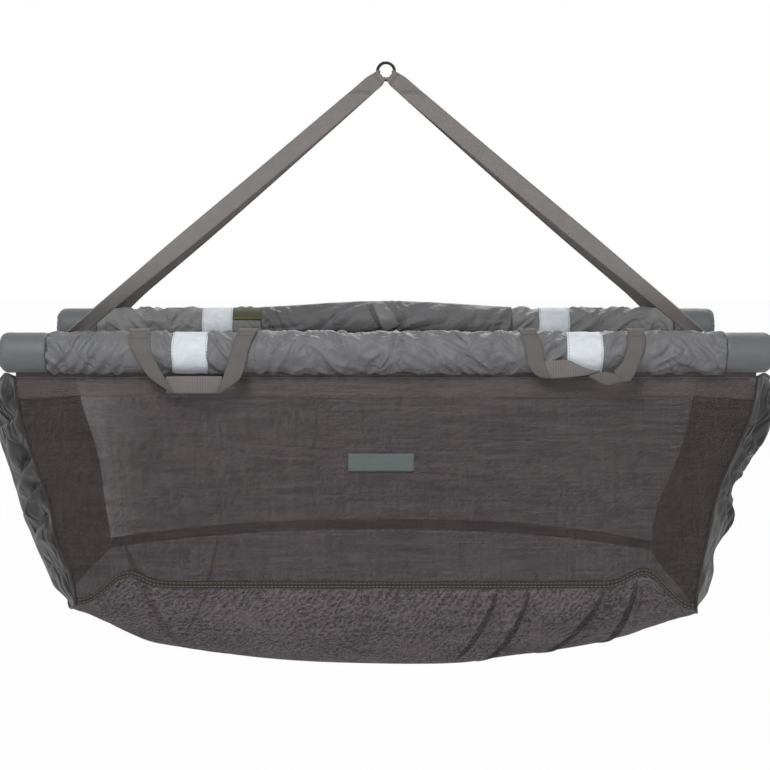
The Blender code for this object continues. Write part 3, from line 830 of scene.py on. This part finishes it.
def seat_lift(side, side_name):
    """A small step off the bar at the strap's seat, for the stitches on its tail."""
    turn = STRAP_SEAT_TURNS[side_name]
    return Vector((0, -side * sin(turn) * STITCH_LIFT, cos(turn) * STITCH_LIFT))


def turn_weave(piece):
    """Turn a piece's weave a quarter, so that its ribs run along U."""
    layer = piece.data.uv_layers["weave"]
    for corner in layer.data:
        corner.uv = (corner.uv[1], corner.uv[0])


# Carrying handles

# Each leg's line down the bar's outer face: drop below the bar's axis, outer edge, inner edge
NEAT_OUTER_LEG = [(-0.0362, 0.3815, 0.3503), (-0.0098, 0.3768, 0.3460), (0.0091, 0.3650, 0.3395),
                  (0.0282, 0.3525, 0.3290), (0.0434, 0.3345, 0.3205), (0.0558, 0.3150, 0.3134)]
NEAT_INNER_LEG = [(-0.0362, 0.1900, 0.2190), (-0.0174, 0.1990, 0.2248), (0.0054, 0.2055, 0.2316),
                  (0.0263, 0.2111, 0.2381), (0.0395, 0.2210, 0.2428), (0.0565, 0.2480, 0.2497)]
TWISTED_OUTER_LEG = [(-0.0362, 0.3832, 0.3575), (-0.0100, 0.3808, 0.3550), (0.0105, 0.3730, 0.3475),
                     (0.0252, 0.3675, 0.3360), (0.0386, 0.3590, 0.3480)]
TWISTED_INNER_LEG = [(-0.0362, 0.1965, 0.2215), (-0.0135, 0.2035, 0.2300), (0.0130, 0.2095, 0.2345),
                     (0.0282, 0.2195, 0.2400), (0.0330, 0.2290, 0.2450)]
# The grips: place along the bar, drop of the upper edge, drop of the lower edge, stand off
NEAT_GRIP = [(0.2420, 0.0315, 0.0562, 0.0), (0.2600, 0.0312, 0.0568, 0.0006),
             (0.2890, 0.0312, 0.0570, 0.0012), (0.3120, 0.0314, 0.0568, 0.0006),
             (0.3250, 0.0318, 0.0560, 0.0)]
TWISTED_GRIP = [(0.2243, 0.0109, 0.0265, 0.0012), (0.2330, 0.0090, 0.0338, 0.0024),
                (0.2500, 0.0074, 0.0338, 0.0034), (0.2683, 0.0072, 0.0325, 0.0042),
                (0.2859, 0.0156, 0.0305, 0.0040), (0.2980, 0.0200, 0.0288, 0.0034),
                (0.3065, 0.0226, 0.0268, 0.0028), (0.3152, 0.0236, 0.0246, 0.0020)]
TWISTED_FLIP = [(0.2991, 0.0309, 0.0313, 0.0050), (0.3100, 0.0263, 0.0368, 0.0056),
                (0.3190, 0.0245, 0.0419, 0.0060), (0.3270, 0.0250, 0.0437, 0.0058),
                (0.3340, 0.0268, 0.0422, 0.0056), (0.3440, 0.0330, 0.0398, 0.0050),
                (0.3513, 0.0376, 0.0381, 0.0044)]


def smooth_rows(rows, place):
    """Rows of numbers read smoothly at a share of the way through them."""
    step = clamp(place) * (len(rows) - 1)
    index = min(int(step), len(rows) - 2)
    share = step - index
    before, after = rows[max(index - 1, 0)], rows[min(index + 2, len(rows) - 1)]
    values = []
    for p, a, b, n in zip(before, rows[index], rows[index + 1], after):
        values.append(0.5 * (2 * a + (b - p) * share + (2 * p - 5 * a + 4 * b - n) * share ** 2
                             + (3 * a - p - 3 * b + n) * share ** 3))
    return values


# A leg's cut length, and how far the grip stands behind the ends of its legs
LEG_LENGTH = 0.105
GRIP_STEP = -0.0004

# Where along their legs the rear handles start, and how deep their sewn ends are tucked in
REAR_LEG_START = 0.056
REAR_LEG_TUCK = 0.0045


def outer_point(side, x, drop, stand_off=0.0):
    """A point on the bar's outer face, or hanging straight down below its widest line."""
    radius = HANDLE_RADIUS + stand_off
    out = sqrt(max(radius * radius - drop * drop, 0)) if drop < 0 else radius
    return Vector((x, side * (BAR_Y + out), BAR_Z - drop))


def add_handle(side_name, side, end_name, end):
    """A webbing handle: two legs sewn over the bar and a wrapped grip between them."""
    twisted = side_name == "front" and end_name == "right"
    legs = (TWISTED_OUTER_LEG, TWISTED_INNER_LEG) if twisted else (NEAT_OUTER_LEG, NEAT_INNER_LEG)
    grip = TWISTED_GRIP if twisted else NEAT_GRIP
    name = f"{side_name}_{end_name}"
    pieces, sewing = [], []
    above = HANDLE_THICKNESS * 0.55
    for number, leg in enumerate(legs):

        def leg_place(u, v, off=0.0):
            v = v if side < 0 else between(REAR_LEG_START, 1, v)
            drop, outer, inner = smooth_rows(leg, v)
            wave = 0.0007 * wander(v * 3, u, side * 7 + end + number)
            foot = 0.0042 * eased(1 - v / 0.14) if side < 0 else -REAR_LEG_TUCK * eased(1 - v / 0.16)
            lift = 0.0010 + foot + 0.0030 * eased((v - 0.35) / 0.3) + wave
            return outer_point(side, end * between(outer, inner, u), drop, lift + off)

        pieces.append(grid_piece(f"{name}_leg_{number}", 10, 44, leg_place, (WEBBING_WIDTH, LEG_LENGTH),
                                 HANDLE_WEBBING, HANDLE_THICKNESS))
        sewing.append([leg_place(u, 0.10, above) for u in steps(8)])
        for u in WEBBING_ROWS:
            sewing.append([leg_place(u, v / 100, above) for v in range(3, 30)])
    webbing = joined(f"{name}_carry_handle", pieces)
    dress(webbing, f"{name}_handle_loop", "webbing", f"{name}_handle")

    wraps = [(grip, GRIP_WEBBING)] + ([(TWISTED_FLIP, HANDLE_WEBBING)] if twisted else [])
    strips = []
    for number, (rows, material) in enumerate(wraps):

        def grip_place(u, v):
            x, top, bottom, stand = smooth_rows(rows, u)
            belly = 0.0010 * sin(pi * v)
            return outer_point(side, end * x, max(between(top, bottom, v), 0), stand + GRIP_STEP + belly)

        strips.append(grid_piece(f"{name}_strip_{number}", 48, 10, grip_place,
                                 (rows[-1][0] - rows[0][0], WEBBING_WIDTH), material, HANDLE_THICKNESS))
    band = joined(f"{name}_grip_wrap", strips)
    dress(band, f"{name}_handle_loop", "webbing", f"{name}_handle_grip")
    dress(stitches(f"{name}_handle_stitches", sewing, DARK_THREAD), f"{name}_handle_loop", "webbing")


# Trough


def side_edge(side, end, share):
    """Where a wall's side edge lies along the bars, from its top (0) to the base seam (1)."""
    edge = between(WALL_HALF_TOP, WALL_HALF_BOTTOM, eased(share))
    if side < 0 and end > 0:
        edge -= 0.014 * bump(share - 0.45, 0.22)
    elif side < 0:
        edge += 0.011 * bump(share - 0.72, 0.12)
    elif end > 0:
        edge += 0.010 * bump(share - 0.5, 0.2)
    else:
        edge += 0.018 * eased((share - 0.45) / 0.4)
    return edge


def seam_height(side, x):
    """Height of a base seam at a place along the bars, with its puckers near the corners."""
    far = abs(x) / WALL_HALF_BOTTOM
    if side > 0:
        return BAR_Z - SEAM_DROP - (0.032 if x < 0 else 0.040) * min(far, 1.1) ** 2.4
    rise = 0.017 if x < 0 else 0.021
    pucker = rise * bump(abs(x) - 0.393, 0.030)
    fall = (0.026 if x < 0 else 0.034) * eased((abs(x) - 0.405) / 0.065)
    return BAR_Z - SEAM_DROP + pucker - fall


def end_edge(end, across, share=1.0):
    """Where the trough's end lies along the bars, between its front (-1) and rear (1) edges."""
    return between(side_edge(-1, end, share), side_edge(1, end, share), (across + 1) / 2)


def wall_point(side, x, share):
    """A point of a mesh wall, from its top (0) to its bottom (1), in shallow ripples."""
    seam = seam_height(side, x * between(WALL_HALF_BOTTOM / WALL_HALF_TOP, 1, eased(share)))
    z = between(WALL_TOP_Z, seam, share)
    held = crown(clamp(2 * share - 1, -1, 1))
    seed = 90 + side
    ripple = 0.0024 * wander(x * 9, z * 6, seed) + 0.0020 * facets(x * 18, z * 6, seed + 3)
    tension = 0.0022 * facets(x * 14 + z * 18, z * 10, seed + 8) * bump(share, 0.4)
    return Vector((x, side * (between(BAR_Y, SEAM_Y, share) + ripple * held + tension * held), z))


# How high the tape over each base seam stands
TAPE_HEIGHTS = {"front": 0.008, "rear": 0.016}

# How far the doubled top band and the side seams stand out from their wall
WALL_LAYER = 0.0012


def add_wall(side_name, side):
    """One see-through mesh wall with its doubled top band, its side seams and base tape."""
    body = f"{side_name}_wall"
    height = WALL_TOP_Z - (BAR_Z - SEAM_DROP)
    band_share = WALL_BAND_HEIGHT / height

    def wall_place(u, v):
        edge = side_edge(side, -1 if u < 0.5 else 1, v)
        return wall_point(side, between(-1, 1, u) * edge, v)

    def band_place(u, v):
        return wall_place(u, v * band_share) + Vector((0, side * WALL_LAYER, 0))

    def tape_place(u, v):
        x = between(-side_edge(side, -1, 1), side_edge(side, 1, 1), u) * TAPE_SHARE
        rise = between(TAPE_HEIGHTS[side_name], -0.0022, sin(pi / 2 * (1 - abs(2 * v - 1))))
        out = 0.0024 * cos(pi * v) + 0.0006 * wander(x * 40, v, 33 + side)
        z = seam_height(side, x) + rise + 0.0006 * wander(x * 22, 0.3, 35 + side)
        return Vector((x, side * (SEAM_Y + out), z))

    # The rear wall takes the mesh painted lighter with painted light.
    wall = grid_piece(f"{side_name}_mesh_panel", 220, 70, wall_place, (2 * WALL_HALF_TOP, height),
                      WALL_MESH if side < 0 else REAR_MESH_PAINTED_LIGHT, MESH_THICKNESS)
    dress(wall, body, "mesh", f"{side_name}_mesh_wall")

    # The top band's mesh is painted lighter against the bar's shadow: painted light.
    band = grid_piece(f"{side_name}_mesh_top_band", 120, 6, band_place,
                      (2 * WALL_HALF_TOP, WALL_BAND_HEIGHT), BAND_MESH_PAINTED_LIGHT, MESH_THICKNESS)
    dress(band, body, "mesh")

    tape = grid_piece(f"{side_name}_seam_tape", 180, 12, tape_place, (2 * WALL_HALF_BOTTOM, TAPE_WIDTH),
                      BINDING, TAPE_CLOTH)
    dress(tape, body, "binding", f"{side_name}_base_tape")
    lift = Vector((0, side * 0.0008, 0))
    rows = [[tape_place(u, v) + lift for u in steps(240)] for v in (0.05, 0.24)]
    thread = stitches(f"{side_name}_seam_stitches", rows, PALE_THREAD, 0.0040, 0.0022, 0.00042)
    dress(thread, body, "binding")

    for end_name, end in ENDS.items():
        points = []
        for share in steps(60):
            point = wall_point(side, end * side_edge(side, end, share), share)
            point.x += end * 0.0008
            point.y += side * (WALL_LAYER + 0.0006 * wander(share * 18, end, side))
            points.append(point)
        seam = cord_tube(f"{side_name}_{end_name}_side_seam", points, SIDE_SEAM_RADIUS, BINDING)
        dress(seam, body, "binding")


# How far the hem's fold is tucked up between the sleeve's seam and the bar
HEM_TUCK = 0.0022


def add_hem(side_name, side):
    """The bound hem under a bar: a dark fold with a lighter piping below it."""
    half = WALL_HALF_TOP - 0.001
    top = BAR_Z - SLEEVE_RADIUS + HEM_TUCK
    middle, reach = (top + HEM_LOW) / 2, (top - HEM_LOW) / 2

    def place(u, v):
        x = between(-half, half, u)
        turn = v * 2 * pi
        thick = 0.0013 + 0.00024 * wander(x * 30, v * 2, 120 + side)
        z = middle + reach * cos(turn) + 0.0005 * wander(x * 18, 1.5, 121 + side)
        return Vector((x, side * BAR_Y + thick * sin(turn), z))

    hem = grid_piece(f"{side_name}_bound_hem", 260, 12, place, (2 * half, HEM_WIDTH), HEM_WEBBING)
    dress(hem, f"{side_name}_side", "binding", f"{side_name}_hem")
    points = []
    for x in [between(-half, half, share) for share in steps(220)]:
        points.append((x, side * (BAR_Y + 0.0016) + 0.0004 * wander(x * 25, 2.5, side),
                       HEM_LOW + 0.0004 + 0.0006 * wander(x * 20, 0.5, 131 + side)))
    piping = cord_tube(f"{side_name}_hem_piping", points, PIPING_RADIUS, PIPING)
    dress(piping, f"{side_name}_side", "binding")


def base_point(along, across):
    """A point of the mesh base: a slack belly with folds running down from its seams."""
    end = -1 if along < 0 else 1
    front_edge = side_edge(-1, end, 1) - 0.0006
    rear_edge = side_edge(1, end, 1) - 0.0006
    share = (across + 1) / 2
    x = along * (between(front_edge, rear_edge, share) + END_SWELLS[end] * crown(across))
    seam = between(seam_height(-1, along * front_edge), seam_height(1, along * rear_edge),
                   eased(share) if abs(along) < 1 else share)
    belly = BAR_Z - profile(BELLY, x)
    loose = sqrt(max(crown(across) * crown(along), 0))
    folds = 0.0
    for start, slant, reach, depth in BASE_FOLDS:
        distance = across + 1 if start > 0 else 1 - across
        line = start + slant * distance
        strength = eased(distance / 0.12) * (1 - eased((distance - reach) / 0.35))
        folds -= 0.45 * depth * bump(x - line, 0.0085) * strength
        folds += 0.45 * depth * bump(x - line - 0.018, 0.011) * strength
    flank = 1 - bump(across + 0.16, 0.30)
    seed = 140.5
    soft = 0.0050 * wander(x * 7, across * 1.3, seed)
    soft += 0.0060 * facets(x * 13 + across * 0.8, across * 1.2, seed + 3)
    small = 0.0034 * facets(x * 36 - across, across * 3.4, seed + 7)
    gathers = 0.0050 * bump(abs(across) - 0.80, 0.20)
    gathers *= facets(x * 58 + 1.2 * across, across * 1.1, seed + 11)
    z = seam - (seam - belly) * crown(across) ** 0.92
    z += loose * (flank * (soft + small) + gathers) + flank * folds
    return Vector((x, across * (SEAM_Y - 0.0006), z))


# How far the base's rounded ends stand out past its straight seams
END_SWELLS = {-1: 0.036, 1: 0.026}

# The belly's lowest line: place along the bars, drop below their axis
BELLY = [(-0.511, 0.420), (-0.477, 0.447), (-0.440, 0.475), (-0.392, 0.500), (-0.342, 0.511),
         (-0.276, 0.522), (-0.152, 0.536), (0.0, 0.5415), (0.122, 0.540), (0.196, 0.5285),
         (0.286, 0.516), (0.388, 0.493), (0.450, 0.466), (0.511, 0.425)]

# Main folds of the base: start along its seam, slope across, how far they reach, depth
BASE_FOLDS = [(0.172, -0.105, 0.55, 0.012), (0.222, -0.085, 0.85, 0.014), (0.337, -0.105, 0.90, 0.016),
              (0.386, -0.040, 0.95, 0.014), (-0.468, 0.120, 1.05, 0.016), (-0.30, -0.05, 0.8, 0.008)]

# Half a tuck's width, as a share of its fold's depth
TUCK_SHARE = 0.40

# How far out each end panel swells along its middle line: drop below the bars' axis, place
LEFT_RIDGE = [(0.075, 0.618), (0.092, 0.627), (0.115, 0.628), (0.177, 0.614), (0.235, 0.603),
              (0.2975, 0.582), (0.353, 0.563), (0.398, 0.540), (0.440, 0.516)]
RIGHT_RIDGE = [(0.075, 0.613), (0.090, 0.617), (0.122, 0.616), (0.167, 0.597), (0.200, 0.571),
               (0.235, 0.560), (0.276, 0.561), (0.299, 0.552), (0.330, 0.532), (0.362, 0.534),
               (0.394, 0.526), (0.440, 0.508)]


def end_point(end, across, share):
    """A point of an end panel: swelling between the walls, crumpled, its top edge hanging slack."""
    ridge = LEFT_RIDGE if end < 0 else RIGHT_RIDGE
    foot = base_point(end, across)
    top = WALL_TOP_Z - 0.055 * crown(across) ** 3 + 0.0025 * min(1, 5 * crown(across))
    z = between(top, foot.z, share)
    edge = end_edge(end, across, share)
    swell = profile(ridge, BAR_Z - z) - edge
    y_reach = between(BAR_Y, SEAM_Y, share) - 0.0010
    loose = clamp(crown(across) * 4) * clamp(crown(2 * share - 1) * 3 + 0.25)
    seed = 160 + end * 3
    run = across * y_reach
    drop = share * 0.36
    bend = wander(run * 6, drop * 6, seed) + 0.5 * wander(run * 15, drop * 15, seed + 1)
    strength = clamp(0.75 + 1.3 * wander(run * 7, drop * 7, seed + 3), 0.15, 1.3)
    slanted = folded((drop - run) * 14 + 1.5 * bend)
    upright = folded(run * 13 + drop * 4 + 1.2 * bend)
    folds = between(slanted, upright, eased(across + 0.7) if end < 0 else 0.75)
    soft = wander(run * 16, drop * 14, seed + 13)
    upper = 1 - 0.8 * eased((share - 0.58) / 0.22)
    calm = 1 - (0.75 if end < 0 else 0.45) * bump(across + 0.28, 0.2)
    crumple = upper * (0.026 * folds * strength + 0.005 * soft) - 0.002
    x = edge + swell * crown(across) ** 0.9 + loose * calm * min(crumple, 0.007)
    x = between(x, abs(foot.x), eased((share - 0.90) / 0.10))
    y = run + loose * 0.006 * wander(drop * 16, run * 9, seed + 12)
    return Vector((end * x, y, z + loose * 0.004 * wander(drop * 22, run * 12, seed + 14)))


def dress_trough(piece, slot, *nodes):
    """Dress a piece of the trough, on its own copy of its mesh."""
    dress(piece, "trough", slot, *nodes)
    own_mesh(piece)


def add_base():
    """The mesh base and the seams that close it to the end panels."""
    def place(u, v):
        return base_point(between(-1, 1, u), between(-1, 1, v))

    base = grid_piece("mesh_base", 300, 120, place, (2 * WALL_HALF_BOTTOM, BASE_WIDTH), BASE_MESH,
                      MESH_THICKNESS)
    dress_trough(base, "mesh", "base_mesh")
    for end_name, end in ENDS.items():
        outside = Vector((end * 0.0015, 0, 0.001))
        points = [base_point(end, between(-1, 1, share)) + outside for share in steps(48)]
        seam = cord_tube(f"{end_name}_base_end_seam", points, END_SEAM_RADIUS, BINDING)
        dress_trough(seam, "binding")


def add_base_tucks():
    """Narrow tucks of the base, where its slack mesh is folded over on itself, coloured darker with painted
    shade.
    """
    tucks = []
    for number, (start, slant, reach, depth) in enumerate(BASE_FOLDS):
        half = depth * TUCK_SHARE

        def place(u, v):
            distance = between(0.02, reach, v)
            across = distance - 1 if start > 0 else 1 - distance
            width = half * sqrt(max(crown(2 * v - 1), 0)) + 0.0006
            x = start + slant * distance + between(-width, width, u)
            end = 1 if x > 0 else -1
            edge = end_edge(end, across) + END_SWELLS[end] * crown(across)
            off = 0.0012 * clamp((across + 0.16) / 0.03, -1, 1)
            return base_point(x / edge, across) + Vector((0, 0, off))

        tucks.append(grid_piece(f"tuck_{number}", 6, 60, place, (2 * half, 0.2), TUCK_MESH_PAINTED_SHADE, MESH_THICKNESS))
    dress_trough(joined("base_tucks", tucks), "mesh")


def add_end_panel(end_name, end):
    """One nylon end panel with its bound top edge."""
    def place(u, v):
        return end_point(end, between(-1, 1, u), v)

    panel = grid_piece(f"{end_name}_gusset", 110, 120, place, END_PANEL_CUT, END_NYLON, NYLON_THICKNESS)
    dress_trough(panel, "end_nylon", f"{end_name}_end_panel")
    points = [place(u, 0) for u in steps(60)]
    seam = cord_tube(f"{end_name}_gusset_binding", points, END_BINDING_RADIUS, BINDING)
    dress_trough(seam, "binding")


# Patch, tag, flap and pull


def add_patch():
    """The bare woven patch, its border heat-cut and sewn."""
    middle_x, middle_z = (patch_low.x + patch_high.x) / 2, (patch_low.z + patch_high.z) / 2
    half_x, half_z = (patch_high.x - patch_low.x) / 2, (patch_high.z - patch_low.z) / 2
    front = patch_low.y

    def place(u, v):
        x = middle_x + between(-half_x, half_x, u)
        z = middle_z + between(-half_z, half_z, v)
        rim = 0.0004 * eased(1 - min(min(u, 1 - u) * half_x, min(v, 1 - v) * half_z) / 0.0006)
        lean = (z - middle_z) * -0.02
        return Vector((x, front + 0.0002 + rim + 0.0003 * wander(x * 50, z * 50, 7) + lean, z))

    patch = grid_piece("bare_patch", 60, 20, place, (2 * half_x, 2 * half_z), PATCH, PATCH_CLOTH)
    dress(patch, "front_wall", "patch", "name_patch")
    corners = [(-1, -1), (1, -1), (1, 1), (-1, 1), (-1, -1)]
    row = [(middle_x + a * (half_x - PATCH_INSET), front - 0.0005, middle_z + b * (half_z - PATCH_INSET))
           for a, b in corners]
    dress(stitches("patch_stitches", [row], GREY_THREAD, 0.0026, 0.0012, 0.0003), "front_wall", "patch")


# The tag: where it starts and ends round the bar, as turns, and how wide it is round it
TAG_TURNS = (radians(3), radians(66))
TAG_WIDTH = 0.034


def add_tag():
    """The folded olive tag sewn to the rear bar, with one yellow row of stitches."""
    def place(u, v):
        turn = between(*TAG_TURNS, v)
        x = between(tag_low.x, tag_high.x, u)
        radius = SLEEVE_RADIUS + 0.0016 + 0.0006 * wander(x * 60, turn * 2, 61)
        return bar_point(1, x, radius, turn)

    length = tag_high.x - tag_low.x
    tag = grid_piece("olive_fold_tag", 26, 14, place, (length, TAG_WIDTH), OLIVE, TAG_CLOTH)
    dress(tag, "rear_side", "olive", "olive_tag")
    row = [place(u, 0.93) + Vector((0, -0.0005, 0.0005)) for u in steps(30)]
    dress(stitches("tag_stitches", [row], YELLOW_THREAD, 0.0030, 0.0009, 0.0005), "rear_side", "olive")


# Where the flap starts and ends round the bar, as turns
FLAP_TURNS = (radians(4), radians(104))

# The rolled pull: its middle along the bar, its reach down the flap, its lean and half its width
PULL_MIDDLE = (pull_low.x + pull_high.x) / 2
PULL_SPAN = (0.30, 0.86)
PULL_LEAN = (-0.012, 0.010)
PULL_HALF = (0.0115, 0.0155)

# Half the pull's thickness, and how far its middle stands off the flap
PULL_THICK = 0.0042
PULL_LIFT = 0.0048


def flap_radius(u, v):
    """How far the cover flap stands from the rear bar's axis."""
    x = between(flap_low.x, flap_high.x, u)
    slack = 0.013 * sin(pi * u) ** 1.1 * sin(pi * clamp(v)) ** 0.7
    slack += 0.0075 * sin(pi * u) ** 1.5 * eased(1 - v * 2.4)
    curve = bump((u - 0.235 - 0.10 * (1 - v) ** 0.6) / 0.012, 1)
    curve *= eased(v * 3) * (1 - eased((v - 0.6) / 0.2))
    slant = 0.0034 * folded(x * 15 + v * 2.2 + 0.8 * wander(x * 12, v * 2, 181)) * sin(pi * u) ** 0.3
    left = 0.0050 * folded(x * 46 - v * 2.2 + 0.3 * wander(x * 30, v * 2, 183)) * bump(u - 0.06, 0.07)
    right = 0.0050 * folded(x * 34 + v * 1.4 + 0.3 * wander(x * 30, v * 2, 184)) * bump(u - 0.97, 0.06)
    gather = 0.0046 * folded(x * 60 - v * 2 + 0.4 * wander(x * 40, v * 3, 185)) * bump(u - 0.545, 0.04)
    gap = 0.0060 * bump(u - pull_edge(v), 0.007) * eased((v - 0.26) / 0.08)
    ends = eased(min(u, 1 - u) / 0.012)
    creased = (slant + gather + left + right - 0.0030 * curve) * eased(v * 4) - gap
    return SLEEVE_RADIUS + 0.0005 + max(slack + creased + 0.0022, 0.0006) * ends


def pull_middle(share):
    """Where the rolled pull's middle lies along the bar, at a share of the pull's length."""
    return PULL_MIDDLE + between(*PULL_LEAN, share ** 1.2)


def pull_edge(v):
    """Where the left edge of the rolled pull lies along the flap, as a share of its length."""
    share = clamp((v - PULL_SPAN[0]) / (PULL_SPAN[1] - PULL_SPAN[0]))
    left = pull_middle(share) - between(*PULL_HALF, share)
    return (left - 0.001 - flap_low.x) / (flap_high.x - flap_low.x)


def add_flap():
    """The slack cover flap along the rear bar and its rolled pull."""
    def place(u, v):
        x = between(flap_low.x - 0.005, flap_high.x, u)
        return bar_point(1, x, flap_radius(u, v), between(*FLAP_TURNS, v))

    length = flap_high.x - flap_low.x
    width = (FLAP_TURNS[1] - FLAP_TURNS[0]) * (SLEEVE_RADIUS + 0.008)
    flap = grid_piece("rear_cover_flap", 200, 50, place, (length, width), FLAP_NYLON, FLAP_CLOTH)
    dress(flap, "cover", "nylon", "cover_flap")
    row = [place(u, 0.045) + Vector((0, 0, 0.0006)) for u in steps(160)]
    dress(stitches("flap_stitches", [row], GREY_THREAD), "cover", "nylon")

    points = []
    for share in steps(24):
        down = between(*PULL_SPAN, share)
        x = pull_middle(share)
        radius = flap_radius((x - flap_low.x) / length, down) + PULL_LIFT
        points.append(bar_point(1, x, radius, between(*FLAP_TURNS, down)))
    dress(rolled_pull(points), "cover", "nylon", "flap_pull")


def rolled_pull(points, sides=22):
    """A rolled nylon pull: a flattened tube with the loose edge of its cloth lying on it."""
    rings = []
    for point, run, share in zip(points, directions(points), steps(len(points) - 1)):
        out = Vector((0, -sin(FLAP_TURNS[1] * share), cos(FLAP_TURNS[1] * share)))
        side = run.cross(out).normalized()
        out = side.cross(run).normalized()
        wide = between(*PULL_HALF, share) * (0.7 + 0.3 * eased(share * 9))
        thick = PULL_THICK * (0.5 + 0.5 * eased(share * 9))
        ring = []
        for turn in [2 * pi * s / sides for s in range(sides)]:
            swell = 1 + 0.10 * facets(turn * 0.9, share * 3, 201)
            step = 0.0009 * eased(1 - abs(turn - 2.2) / 0.25)
            ring.append(point + side * wide * cos(turn) * swell + out * (thick * sin(turn) * swell + step))
        rings.append(ring)
    # The roll's cloth is painted lighter than the flap: painted light.
    return tube("rolled_pull", rings, 0.05, 0.002, PULL_NYLON_PAINTED_LIGHT)


# Camera, light and floor


def add_camera():
    """The camera of the photograph."""
    data = bpy.data.cameras.new("camera")
    data.lens = CAMERA_LENS
    data.sensor_width = SENSOR_WIDTH
    camera = bpy.data.objects.new("camera", data)
    camera.location = CAMERA_PLACE
    camera.rotation_euler = (CAMERA_TILT, 0, 0)
    bpy.context.scene.collection.objects.link(camera)
    bpy.context.scene.camera = camera


def add_light(name, place, aim, size, power):
    """A large soft studio lamp pointed at a place."""
    data = bpy.data.lights.new(name, "AREA")
    data.shape = "DISK"
    data.size = size
    data.energy = power
    lamp = bpy.data.objects.new(name, data)
    lamp.location = place
    lamp.rotation_euler = (Vector(aim) - Vector(place)).to_track_quat("-Z", "Y").to_euler()
    bpy.context.scene.collection.objects.link(lamp)


def seen_directly(tree):
    """1 for rays that show the background itself: camera, mirror and see-through rays."""
    path = add_node(tree, "ShaderNodeLightPath")
    seen = math_node(tree, "MAXIMUM", path.outputs["Is Camera Ray"], path.outputs["Is Glossy Ray"])
    return math_node(tree, "MAXIMUM", seen, path.outputs["Is Transmission Ray"])


# The floor's depth under the ring and half its size
FLOOR_DROP = 1.50
FLOOR_REACH = 14.0

# Lamps: place, the place each points at, size, power
LAMPS = {"key": ((-0.8, -2.5, 1.5), (0, 0, -0.55), 1.3, 76),
         "fill": ((1.6, -2.8, 0.2), (0, 0, -0.6), 1.6, 22),
         "back": ((0.4, 2.6, 1.6), (0, 0, -0.4), 1.6, 40)}


def sky_strength(tree):
    """The surroundings' light: stronger from above than from below."""
    direction = add_node(tree, "ShaderNodeTexCoord").outputs["Generated"]
    height = add_node(tree, "ShaderNodeSeparateXYZ", Vector=direction).outputs["Z"]
    return remap(tree, height, -0.6, 0.8, 0.20, 0.46)


def mixed_surface(tree, output, share, under, shown):
    """A node tree's output: one shader, with another shown in its place by a share."""
    mix = add_node(tree, "ShaderNodeMixShader", _0=share, _1=under.outputs[0], _2=shown.outputs[0])
    add_node(tree, output, Surface=mix.outputs[0])


def emptied_tree(owner):
    """The node tree of a world or a material, without nodes."""
    owner.use_nodes = True
    owner.node_tree.nodes.clear()
    return owner.node_tree


def add_studio():
    """White surroundings, soft lamps and a plain pale floor well below the sling."""
    scene = bpy.context.scene
    scene.world = bpy.data.worlds.new("studio")
    tree = emptied_tree(scene.world)
    fill = add_node(tree, "ShaderNodeBackground", Color=(0.95, 0.98, 1, 1), Strength=sky_strength(tree))
    shown = add_node(tree, "ShaderNodeBackground", Color=(1, 1, 1, 1), Strength=1.0)
    mixed_surface(tree, "ShaderNodeOutputWorld", seen_directly(tree), fill, shown)
    for name, (place, aim, size, power) in LAMPS.items():
        add_light(name, place, aim, size, power)

    corners = [(a * FLOOR_REACH, b * FLOOR_REACH, -FLOOR_DROP)
               for a, b in ((-1, -1), (1, -1), (1, 1), (-1, 1))]
    mesh = new_mesh("floor", corners, [(0, 1, 2, 3)])
    floor = bpy.data.objects.new("floor", mesh)
    scene.collection.objects.link(floor)
    material = bpy.data.materials.new("floor_paper")
    tree = emptied_tree(material)
    grain = tinted(tree, solid_noise(tree, 3, 2), (0.82, 0.82, 0.82), (0.86, 0.86, 0.86))
    paper = add_node(tree, "ShaderNodeBsdfDiffuse", Color=grain)
    glow = add_node(tree, "ShaderNodeEmission", Color=(1, 1, 1, 1), Strength=1.0)
    share = math_node(tree, "MULTIPLY", seen_directly(tree), 0.97)
    mixed_surface(tree, "ShaderNodeOutputMaterial", share, paper, glow)
    mesh.materials.append(material)
    scene.view_settings.view_transform = "Standard"


def finish_hidden_nodes():
    """Give the carried-over solids their finished materials."""
    finishes = {"hanging_ring": BLACK_METAL}
    for side_name in SIDES:
        finishes[f"{side_name}_bar_rod"] = FIBRE
        for end_name in ENDS:
            finishes[f"{side_name}_{end_name}_float"] = FOAM
    for name, material in finishes.items():
        for slot in NODES[name].material_slots:
            slot.material = material


add_camera()
add_studio()
finish_hidden_nodes()
for side_name, side in SIDES.items():
    add_hem(side_name, side)
    add_sleeve(side_name, side)
    add_wall(side_name, side)
    for end_name, end in ENDS.items():
        add_bar_end(side_name, side, end_name, end)
        add_band(side_name, side, end_name, end)
        add_handle(side_name, side, end_name, end)
for end_name, end in ENDS.items():
    add_eye(end_name, end)
    for side_name, side in SIDES.items():
        add_strap(side_name, side, end_name, end)
add_base()
add_base_tucks()
for end_name, end in ENDS.items():
    add_end_panel(end_name, end)
add_patch()
add_tag()
add_flap()
